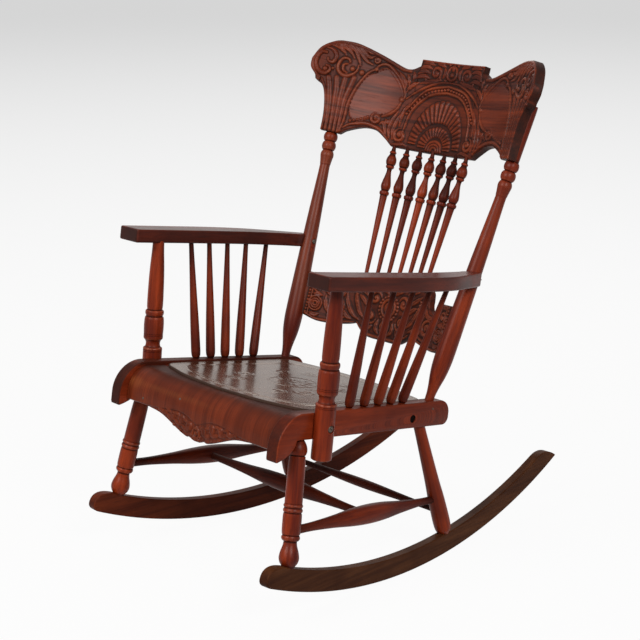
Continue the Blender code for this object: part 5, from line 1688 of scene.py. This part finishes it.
    def splat_edges(self, s: Points) -> tuple[Points, Points]:
        """Lower and upper edge of the splat at places along the bend."""
        x = np.abs(s)
        end = 0.2185
        low = np.vstack([
            through([(0.0, -0.429), (end * 0.19, -0.42804), (end * 0.29, -0.41892),
                     (end * 0.365, -0.405)], 8),
            through([(end * 0.38, -0.405), (end * 0.48, -0.4122), (end * 0.66, -0.42012),
                     (end * 0.83, -0.423), (end, -0.4158), (0.240, -0.4100)], 8)])
        turn = np.linspace(-math.pi, 0, 24)
        top, shoulder, radius = self.splat_top, self.splat_shoulder, self.notch_radius
        notch = np.column_stack([0.1512 + radius * np.cos(turn), shoulder + radius * np.sin(turn)])
        high = np.vstack([[(0.0, top)], swept((0.1226, -0.3106), (0.120, top), (0.107, top), 8)[::-1], notch,
                          [(0.1776, shoulder), (0.240, shoulder)]])
        return np.interp(x, low[:, 0], low[:, 1]), np.interp(x, high[:, 0], high[:, 1])

    def splat_relief(self, s: Points, v: Points) -> Points:
        """Pressed ornament of the splat: cabochon, scrolls, leaves, rosettes and beaded ends."""
        c = Carving(s * 1000, v * 1000, self.swell)
        c.ridge([(0, -302), (60, -302), (113, -302)], 2.6, 2.4, (1, 0.6))
        c.ridge([(0, -424), (40, -423), (62, -415), (77, -404)], 2.8, 2.8, (1, 0.6))
        c.ridge([(86, -406), (106, -409), (144, -416), (182, -419), (210, -413)], 2.8, 2.8)
        c.ring((0, -358), 19, 3.0, 3.2)
        c.bead((0, -358), 13, 4.2)
        c.beads(spiral((0, -358), (26.5, 26.5), -90, 180), 8.2, 3.2, 2.8)
        c.scroll((42, -342), (16, 4), 170, -400, 3.8, 3.4, 4.8)
        c.scroll((46, -384), (17, 4), 190, 400, 3.8, 3.4, 5.0)
        sprays = (
            [(8, -328), (20, -320), (36, -314)], [(0, -326), (2, -316), (8, -309)],
            [(50, -320), (66, -313), (84, -309)], [(22, -388), (24, -404), (14, -417)],
            [(8, -388), (8, -402), (4, -416)], [(36, -402), (46, -410), (58, -408)],
            [(62, -392), (78, -378), (92, -354), (98, -332)], [(62, -342), (78, -331), (98, -318)],
            [(76, -397), (96, -387), (113, -365), (119, -344)], [(64, -362), (72, -352), (86, -344)],
            [(104, -330), (110, -320), (112, -310)], [(96, -400), (108, -396), (118, -386)],
            [(120, -338), (128, -352), (142, -357), (158, -352)], [(154, -400), (166, -384), (170, -364)],
            [(158, -362), (170, -352), (176, -338), (181, -327)], [(178, -407), (188, -411), (202, -409)],
            [(180, -366), (190, -366), (202, -366)], [(184, -330), (192, -326), (203, -330)])
        for spray in sprays:
            c.leaf(spray, 4.6, 3.2, (0.4, 0.25))
        c.beads([(84, -366), (92, -347), (97, -326)], 8.0, 3.2, 3.4)
        c.scroll((137, -381), (19, 5), 60, 430, 4.2, 3.6, 5.6)
        c.ridge([(112, -400), (134, -407), (156, -405)], 3.0, 2.8)
        for radius in (5.0, 10.0, 15.5):
            c.ring((192, -386), radius, 2.2, 3.0)
        c.scroll((193, -348), (13, 4), 250, 400, 3.2, 3.2, 4.2)
        c.ridge([(205, -324), (205, -370), (205, -412)], 2.0, 2.6, (1, 1))
        c.beads([(211, -326), (211, -370), (211, -412)], 7.0, 3.0, 2.8)
        return c.h / 1000

    def splat_shade(self, s: Points, v: Points) -> Points:
        """Darkened all over, as it stands behind the arms and out of the light."""
        return np.full_like(s + v, self.splat_dim)

    def splat(self) -> None:
        """Bent, carved splat between the posts."""
        step = 0.00165 if self.fine else 0.004
        half = np.concatenate([np.arange(0, 0.106, step), np.arange(0.107, 0.1235, step * 0.5),
                               np.arange(0.1239, 0.130, step * 0.4), np.arange(0.131, 0.1715, step),
                               np.arange(0.172, 0.1785, step * 0.4), np.arange(0.1795, 0.2262, step)])
        stations = mirrored(half)

        def place(s: Points, v: Points, d: Points) -> Points:
            """World places on the splat, which stands in front of the crest's line."""
            return BACK.place(s, v, d - self.splat_forward)
        # The sunk ground carries painted shade and soiling, as on the crest.
        item = CarvedBoard(
            "carved_back_splat", stations, *self.splat_edges(stations), 84 if self.fine else 40,
            self.splat_relief, place, self.splat_thickness, ground=0.0030, rim=0.0030, shade=self.splat_shade,
            contrast=0.8, sunk_dirt_and_shade=0.36).build()
        finish_piece(item, self.finishes.carved, Slot.WOOD, "back_splat")

    def spindle(self, count: int) -> None:
        """Back spindle: tapered shaft, collar, vase, acorn and neck."""
        at = count - len(self.stains) // 2
        low = BACK.place(at * self.foot_pitch, self.splat_top, self.foot_depth)[0]
        high = BACK.place(at * self.top_pitch, self.crest_low, self.top_depth)[0]
        r, f = span(low, high), self.spindle_radius
        shaft = [(-0.004, 0.0043), (0.004, 0.0043), (0.060, 0.0053), (r - 0.130, 0.0074),
                 (r - 0.108, 0.80 * f)]
        head = [sized(run, f, r) for run in (
            [(-0.1075, 0.92), (-0.105, 1.02), (-0.1015, 1.02), (-0.0995, 0.92)],
            [(-0.099, 0.76), (-0.096, 0.86), (-0.088, 1.05), (-0.078, 0.92), (-0.066, 0.66), (-0.055, 0.50),
             (-0.049, 0.56)],
            [(-0.0485, 0.70), (-0.0465, 0.86), (-0.0435, 0.90), (-0.0425, 0.78)],
            [(-0.042, 0.80), (-0.038, 1.0), (-0.032, 1.1), (-0.0255, 0.99), (-0.0195, 0.70), (-0.016, 0.58)],
            [(-0.0155, 0.64), (-0.013, 0.74), (-0.0105, 0.62), (-0.009, 0.50), (-0.002, 0.40),
             (0.006, 0.36)])]
        stain_and_shade = self.stains[count]
        # Each spindle's own tone, darker at the foot and more so towards the head.
        dirt_and_shade = ((0.0, stain_and_shade - 0.3), (0.1, stain_and_shade), (0.5, stain_and_shade), (0.64, stain_and_shade - 0.25), (0.8, stain_and_shade - 0.4),
                (1.0, stain_and_shade - 0.6))
        self.turn(f"back_spindle_{count + 1}", (low, high), [shaft, *head], 28, 0.53 * count + 4, dirt_and_shade)

    def build(self) -> None:
        """Make every piece of the back."""
        for side, sign in SIDES.items():
            self.post(side, sign)
        for count in range(len(self.stains)):
            self.spindle(count)
        self.splat()
        self.crest()


# Arms


@dataclass
class ArmAssembly(Assembly):
    """Flat arms on a turned arm post and five fanned spindles each."""

    back: BackAssembly
    front: float = -0.121
    inner_margin: float = 0.013
    outer_margin: float = 0.051
    corner: float = 0.005
    rounding: float = 0.0034
    post_seat: float = -0.0415
    post_head: float = -0.0535
    post_hang: float = 0.089
    post_radius: float = 0.020
    post_notch: float = 0.007
    foot_start: float = 0.052
    foot_run: float = 0.155
    top_start: float = 0.0365
    top_run: float = 0.213
    spindle_line: float = 0.270
    spindle_radius: float = 0.010
    fans: dict[str, Sequence[Pair]] = field(default_factory=lambda: {
        "left": ((0.0, 0.0), (0.25, 0.235), (0.50, 0.474), (0.75, 0.723), (1.0, 1.0)),
        "right": ((0.0, 0.0), (0.27, 0.291), (0.53, 0.545), (0.77, 0.765), (1.0, 1.0))})
    posts: dict[str, tuple[Points, Points]] = field(default_factory=dict)
    underside: float = PLAN.arm_top - PLAN.arm_thickness

    def crossing(self, side: str) -> Points:
        """Seat frame place of a back post's axis in the middle of the arm's thickness."""
        low, high = SEAT.local(np.vstack(self.back.posts[side]))
        share = (PLAN.arm_top - PLAN.arm_thickness / 2 - low[2]) / (high[2] - low[2])
        return low + (high - low) * share

    def arm(self, side: str, sign: float) -> None:
        """One arm: square front, swelling outer edge, rear end drawn in beside the back post."""
        x, end = self.crossing("right")[:2]
        inner, outer = PLAN.arm_line - self.inner_margin, PLAN.arm_line + self.outer_margin
        corner, front, run = self.corner, self.front, end - self.front
        shoulder = (outer - 0.0048, front + corner)
        outline = np.vstack([
            swept((outer - 0.010, front), (outer - corner, front), shoulder, 6),
            through([shoulder, (outer, front + run * 0.25), (outer + 0.005, front + run * 0.5),
                     (outer - 0.005, front + run * 0.72), (x + 0.0425, front + run * 0.90),
                     (x + 0.025, end)], 10)[1:],
            through([(x, end), (x, front + run * 0.93), (inner - 0.005, front + run * 0.86),
                     (inner + 0.005, front + run * 0.66), (inner + 0.005, front + run * 0.40),
                     (inner, front + corner)], 10),
            swept((inner, front + corner), (inner, front), (inner + corner, front), 6)[1:]])

        def place(u: Points, v: Points, t: Points) -> Points:
            """World places of points of the arm."""
            return SEAT.place(sign * u, v, PLAN.arm_top - PLAN.arm_thickness / 2 + t)
        item = SawnBoard(f"arm_board_{side}", outline, PLAN.arm_thickness, place, self.rounding,
                         seed=5.3 * sign, grain_turned=True).build()
        finish_piece(item, self.finishes.arm, Slot.WOOD, f"arm_{side}")

    def post(self, side: str, sign: float) -> None:
        """Arm post: drop, cove, barrel with scribed lines, ring and tapered shaft."""
        f, hang = self.post_radius, self.post_hang
        outside = PLAN.rail_x(self.post_seat) + PLAN.rail_thickness / 2 / math.cos(PLAN.rail_toe)
        seat = np.array([outside + f - self.post_notch, self.post_seat, 0.0])
        head = np.array([PLAN.arm_line, self.post_head, self.underside])
        foot = seat + (seat - head) * (hang / self.underside)
        low, high = self.posts[side] = tuple(SEAT.place(sign * end[0], *end[1:])[0] for end in (foot, head))
        r = span(low, high)
        t = r * hang / (hang + self.underside)
        drop = sized([(0.0, 0.84), (0.0015, 0.94), (0.005, 1.0), (0.030, 1.0), (t + 0.0115, 1.0)], f)
        middle = [sized(run, f, t) for run in (
            [(0.0118, 0.955), (0.0128, 0.955)], [(0.0131, 1.0), (0.0145, 1.0)],
            [(0.0148, 0.955), (0.0158, 0.955)], [(0.0161, 1.0), (0.0185, 1.0), (0.0205, 0.965)],
            [(0.0208, 0.90), (0.0235, 0.79), (0.029, 0.74), (0.0345, 0.79), (0.0385, 0.92)],
            [(0.0388, 0.97), (0.0415, 1.01), (0.0455, 1.01)], [(0.0458, 0.965), (0.0468, 0.965)],
            [(0.0471, 1.01), (0.0490, 1.01)], [(0.0493, 0.965), (0.0503, 0.965)],
            [(0.0506, 1.01), (0.066, 1.035), (0.080, 1.01), (0.0855, 0.95)], [(0.086, 0.87), (0.0885, 0.85)],
            [(0.089, 0.91), (0.0935, 0.97), (0.098, 0.95), (0.0995, 0.90)])]
        shaft = [*sized([(0.100, 0.80), (0.103, 0.80), (0.112, 0.835), (0.145, 0.82), (0.185, 0.755)], f, t),
                 (r - 0.02, 0.64 * f), (r + 0.004, 0.59 * f)]
        self.turn(f"arm_post_{side}", (low, high), [drop, *middle, shaft], 48, 6.7 * sign)

    def spindle(self, side: str, sign: float, count: int) -> None:
        """One of the five fanned spindles."""
        foot_share, top_share = self.fans[side][count]
        foot = self.foot_start + self.foot_run * foot_share
        top = self.top_start + self.top_run * top_share
        low = SEAT.place(sign * PLAN.rail_x(foot), foot, 0.0)[0]
        high = SEAT.place(sign * self.spindle_line, top, self.underside)[0]
        r = span(low, high)
        run = sized([(-0.002, 0.55), (0.0012, 0.66), (0.005, 0.88), (0.012, 0.98), (0.024, 1.0),
                     (r * 0.30, 0.93), (r / 2, 0.80), (r - 0.03, 0.55), (r + 0.004, 0.50)],
                    self.spindle_radius)
        # Painted shade at both ends, at the rail and under the arm, and a little all along.
        self.turn(f"arm_spindle_{side}_{count + 1}", (low, high), [run], 28, 0.41 * count + 8 * sign,
                  ((0.0, -0.85), (0.08, -0.40), (0.3, -0.22), (0.7, -0.32), (1.0, -0.75)))

    def build(self) -> None:
        """Make every piece of both arms."""
        for side, sign in SIDES.items():
            self.arm(side, sign)
            self.post(side, sign)
            for count in range(len(self.fans[side])):
                self.spindle(side, sign, count)


# Fixings


@dataclass
class Fixings(Assembly):
    """Slotted screws in sunk seats, and the nails and empty holes left by old repairs."""

    seat: SeatAssembly
    back: BackAssembly
    arms: ArmAssembly
    sink: float = 0.004
    overshoot: float = 0.03
    post_screw: float = 0.0068
    arm_screw: float = 0.0050
    shank: float = 0.0024
    slot_width: float = 0.0013
    hole: float = 0.0082
    hole_depth: float = 0.020
    hole_at: Pair = (0.2326, -0.0321)
    rail_nail: float = 0.0022
    rail_nail_at: Pair = (0.2919, -0.0154)
    roll_nail: float = 0.0024
    roll_nails: Path = ((-0.172, 0.1233), (-0.0603, 0.0995))

    def cut(self, piece: Piece, cutter: Piece, place: Points, way: Points) -> None:
        """Stand a cutter on a line and take it out of a piece.

        Args:
            piece: Piece that is cut.
            cutter: Cutter, drawn about the origin with its length up.
            place: Where its origin goes.
            way: Direction its length goes.
        """
        local = Bench.points(cutter)
        # Tone -1 on the cutter, for painted shade on the faces it leaves in the hole.
        Bench.mark(cutter, local, -1.0)
        Bench.move(cutter, local @ standing(way).T + place)
        Bench.edit(cutter, Bench.outward)
        Bench.modify(piece, "BOOLEAN", operation="DIFFERENCE", object=cutter, solver="EXACT")
        Bench.clear()
        cutter.select_set(True)
        bpy.ops.object.delete()

    def bore(self, name: str, place: Points, way: Points, radius: float, depth: float) -> None:
        """Bore a round hole into a named piece, from outside it to a depth beyond a place."""
        Bench.clear()
        bpy.ops.mesh.primitive_cylinder_add(vertices=32, radius=radius, depth=self.overshoot + depth,
                                            location=(0, 0, (depth - self.overshoot) / 2))
        bpy.ops.object.transform_apply(location=True, rotation=False, scale=False)
        piece = bpy.data.objects[name]
        self.cut(piece, Bench.named("bit"), place, way)
        Bench.smooth(piece, 40.0)

    def screw(self, node: str, host: str, place: Points, way: Points, turn: float, r: float) -> None:
        """Sink a slotted round headed screw into its host.

        Args:
            node: Solid it stands for.
            host: Piece its head is sunk in.
            place: Middle of the face under its head.
            way: Direction it is driven.
            turn: Angle of its slot, in degrees.
            r: Radius of its head.
        """
        self.bore(host, place, way, r + 0.0012, 0.0002)
        runs = [sized([(-0.0030, 0.20), (-0.0029, 0.55), (-0.0022, 0.86), (-0.0010, 1.0)], r),
                [(-0.0010, r), (0.0, r)], [(0.0, self.shank), (0.032, self.shank), (0.040, 0.0008)]]
        item = Turning(f"slotted_{node}", place, place + way, runs, 36).build()
        Bench.clear()
        bpy.ops.mesh.primitive_cube_add(size=1.0)
        slot = Bench.named("slot")
        c, s = math.cos(math.radians(turn)), math.sin(math.radians(turn))
        size = Bench.points(slot) * (3 * r, self.slot_width, 0.004) - (0.0, 0.0, 0.0037)
        Bench.move(slot, size @ np.array([[c, s, 0.0], [-s, c, 0.0], [0.0, 0.0, 1.0]]))
        self.cut(item, slot, place, way)
        Bench.smooth(item, 35.0)
        finish_piece(item, self.finishes.steel, Slot.STEEL, node)

    def shadow_plug(self, name: str, place: Points, way: Points) -> None:
        """Near black plug in an empty hole, from just inside its mouth to its bottom: a painted shadow."""
        radius = self.hole - 0.0001
        item = Turning(name, place, place + way, [[(0.0015, radius), (self.hole_depth + 0.0005, radius)]], 32,
                       dirt_and_shade=((0.0, -1.0), (1.0, -1.0))).build()
        finish_piece(item, self.finishes.hole, Slot.WOOD)

    def nail(self, name: str, place: Points, way: Points, radius: float) -> None:
        """Small flat nail head, driven almost flush."""
        runs = [sized(run, radius) for run in (
            [(-0.0006, 0.3), (-0.0005, 0.8), (-0.0001, 1.0)], [(0.0004, 1.0), (0.0006, 0.4)],
            [(0.007, 0.4), (0.008, 0.1)])]
        item = Turning(name, place, place + way, runs, 24).build()
        finish_piece(item, self.finishes.steel, Slot.STEEL)

    def build(self) -> None:
        """Drive every screw and nail."""
        for side, sign in SIDES.items():
            rail = PLAN.rail_place(sign)
            inward = rail(0.0, 0.0, -sign)[0] - rail(0.0, 0.0, 0.0)[0]
            low, high = self.arms.posts[side]
            hang = self.arms.post_hang
            axis = low + (high - low) * (hang - PLAN.rail_height / 2) / (hang + self.arms.underside)
            head = axis - inward * (self.arms.post_radius - self.sink)
            self.screw(f"arm_post_screw_{side}", f"turned_arm_post_{side}", head, inward, turn=45,
                       r=self.post_screw)
            axis = SEAT.place(*self.arms.crossing(side))[0]
            radius = np.interp(span(self.back.posts[side][0], axis), *self.back.profile.T)
            outward = np.array([sign, 0.0, 0.0])
            head = axis - outward * (radius - self.sink * 0.4)
            self.screw(f"arm_screw_{side}", f"turned_back_post_{side}", head, outward, turn=20,
                       r=self.arm_screw)
            face = sign * PLAN.rail_thickness / 2
            mouth = rail(*self.hole_at, face)[0]
            self.bore(f"rail_board_{side}", mouth, inward, self.hole, self.hole_depth)
            self.shadow_plug(f"rail_hole_shadow_{side}", mouth, inward)
            self.nail(f"rail_nail_{side}", rail(*self.rail_nail_at, face)[0], inward, self.rail_nail)
        for count, (s, v) in enumerate(self.roll_nails):
            self.nail(f"roll_nail_{count + 1}", *self.seat.on_roll(s, v), self.roll_nail)


# Studio


@dataclass(frozen=True)
class SoftLight:
    """Square area light aimed at a place."""

    name: str
    place: Triple
    aim: Triple
    size: float
    power: float
    colour: Colour

    def hang(self) -> None:
        """Add the light to the studio."""
        Bench.clear()
        bpy.ops.object.light_add(type="AREA", location=self.place)
        item = bpy.context.active_object
        item.name = self.name
        item.data.size = self.size
        item.data.energy = self.power
        item.data.color = self.colour
        way = Vector(self.aim) - Vector(self.place)
        item.rotation_euler = way.to_track_quat("-Z", "Y").to_euler()
        item.visible_camera = False


@dataclass
class Studio:
    """Pale floor, soft lights and the camera of the photograph."""

    lights: Sequence[SoftLight] = (
        SoftLight("key_light", (-0.1, -3.1, 2.85), (0.0, 0.0, 0.5), 1.8, 124.0, (1.0, 0.98, 0.95)),
        SoftLight("side_light", (3.1, -0.9, 2.6), (0.0, 0.0, 0.5), 1.1, 92.0, (1.0, 0.97, 0.93)),
        SoftLight("rear_light", (-2.2, 2.3, 2.15), (0.0, 0.0, 0.4), 1.7, 17.0, (1.0, 0.94, 0.87)))
    white: Colour = (1.0, 1.0, 1.0)
    far_grey: Colour = (0.70, 0.70, 0.70)
    floor_grey: Colour = (0.50, 0.50, 0.50)
    floor_radius: float = 60.0
    floor_fade: Pair = (0.5, 13.5)
    floor_glow: float = 0.95
    surround: float = 0.13
    camera_at: Triple = (2.4629, -2.3748, 1.3934)
    camera_tilt: float = math.radians(74.932)
    camera_turn: float = math.radians(46.707)
    lens: float = 95.625
    sensor: float = 36.0

    def floor(self) -> None:
        """Wide pale floor that turns grey far behind the chair and keeps a soft shadow."""
        Bench.clear()
        bpy.ops.mesh.primitive_circle_add(vertices=96, radius=self.floor_radius, fill_type="NGON")
        item = Bench.named("studio_floor")
        material = bpy.data.materials.new("pale_floor")
        g = Graph(material)
        place = g.node("TexCoord", {}, {}, "Object")
        away = g.node("VectorMath", {"operation": "LENGTH"}, {0: place}, "Value")
        colour = g.mix_colour(away.between(*self.floor_fade), self.white, self.far_grey)
        matt = g.node("BsdfDiffuse", {}, {"Color": (*self.floor_grey, 1.0)})
        glow = g.node("Emission", {}, {"Color": colour, "Strength": 1.0})
        g.surface(g.node("MixShader", {}, {0: g.seen() * self.floor_glow, 1: matt, 2: glow}))
        item.data.materials.append(material)

    def world(self) -> None:
        """Even white surroundings, a plain grey where the camera sees past the floor."""
        world = bpy.data.worlds.new("studio_world")
        bpy.context.scene.world = world
        g = Graph(world)
        near = g.node("Background", {}, {"Color": (*self.white, 1.0), "Strength": self.surround})
        far = g.node("Background", {}, {"Color": (*self.far_grey, 1.0), "Strength": 1.0})
        g.surface(g.node("MixShader", {}, {0: g.seen(), 1: near, 2: far}), "OutputWorld")

    def camera(self) -> None:
        """Camera at the angle of the photograph."""
        Bench.clear()
        bpy.ops.object.camera_add(location=self.camera_at,
                                  rotation=(self.camera_tilt, 0.0, self.camera_turn))
        item = bpy.context.active_object
        item.name = "photo_camera"
        item.data.sensor_width = self.sensor
        item.data.lens = self.lens
        bpy.context.scene.camera = item

    def build(self) -> None:
        """Set up the studio."""
        self.floor()
        self.world()
        for light in self.lights:
            light.hang()
        bpy.context.scene.view_settings.view_transform = "Standard"
        self.camera()


def main() -> None:
    """Build the chair from the floor up, then the studio."""
    logging.basicConfig(level=logging.INFO, format="%(name)s %(message)s")
    finishes = Finishes()
    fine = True
    Underframe(finishes).build()
    seat = SeatAssembly(finishes, fine)
    seat.build()
    back = BackAssembly(finishes, fine)
    back.build()
    arms = ArmAssembly(finishes, back)
    arms.build()
    Fixings(finishes, seat, back, arms).build()
    Studio().build()


if __name__ == "__main__":
    main()
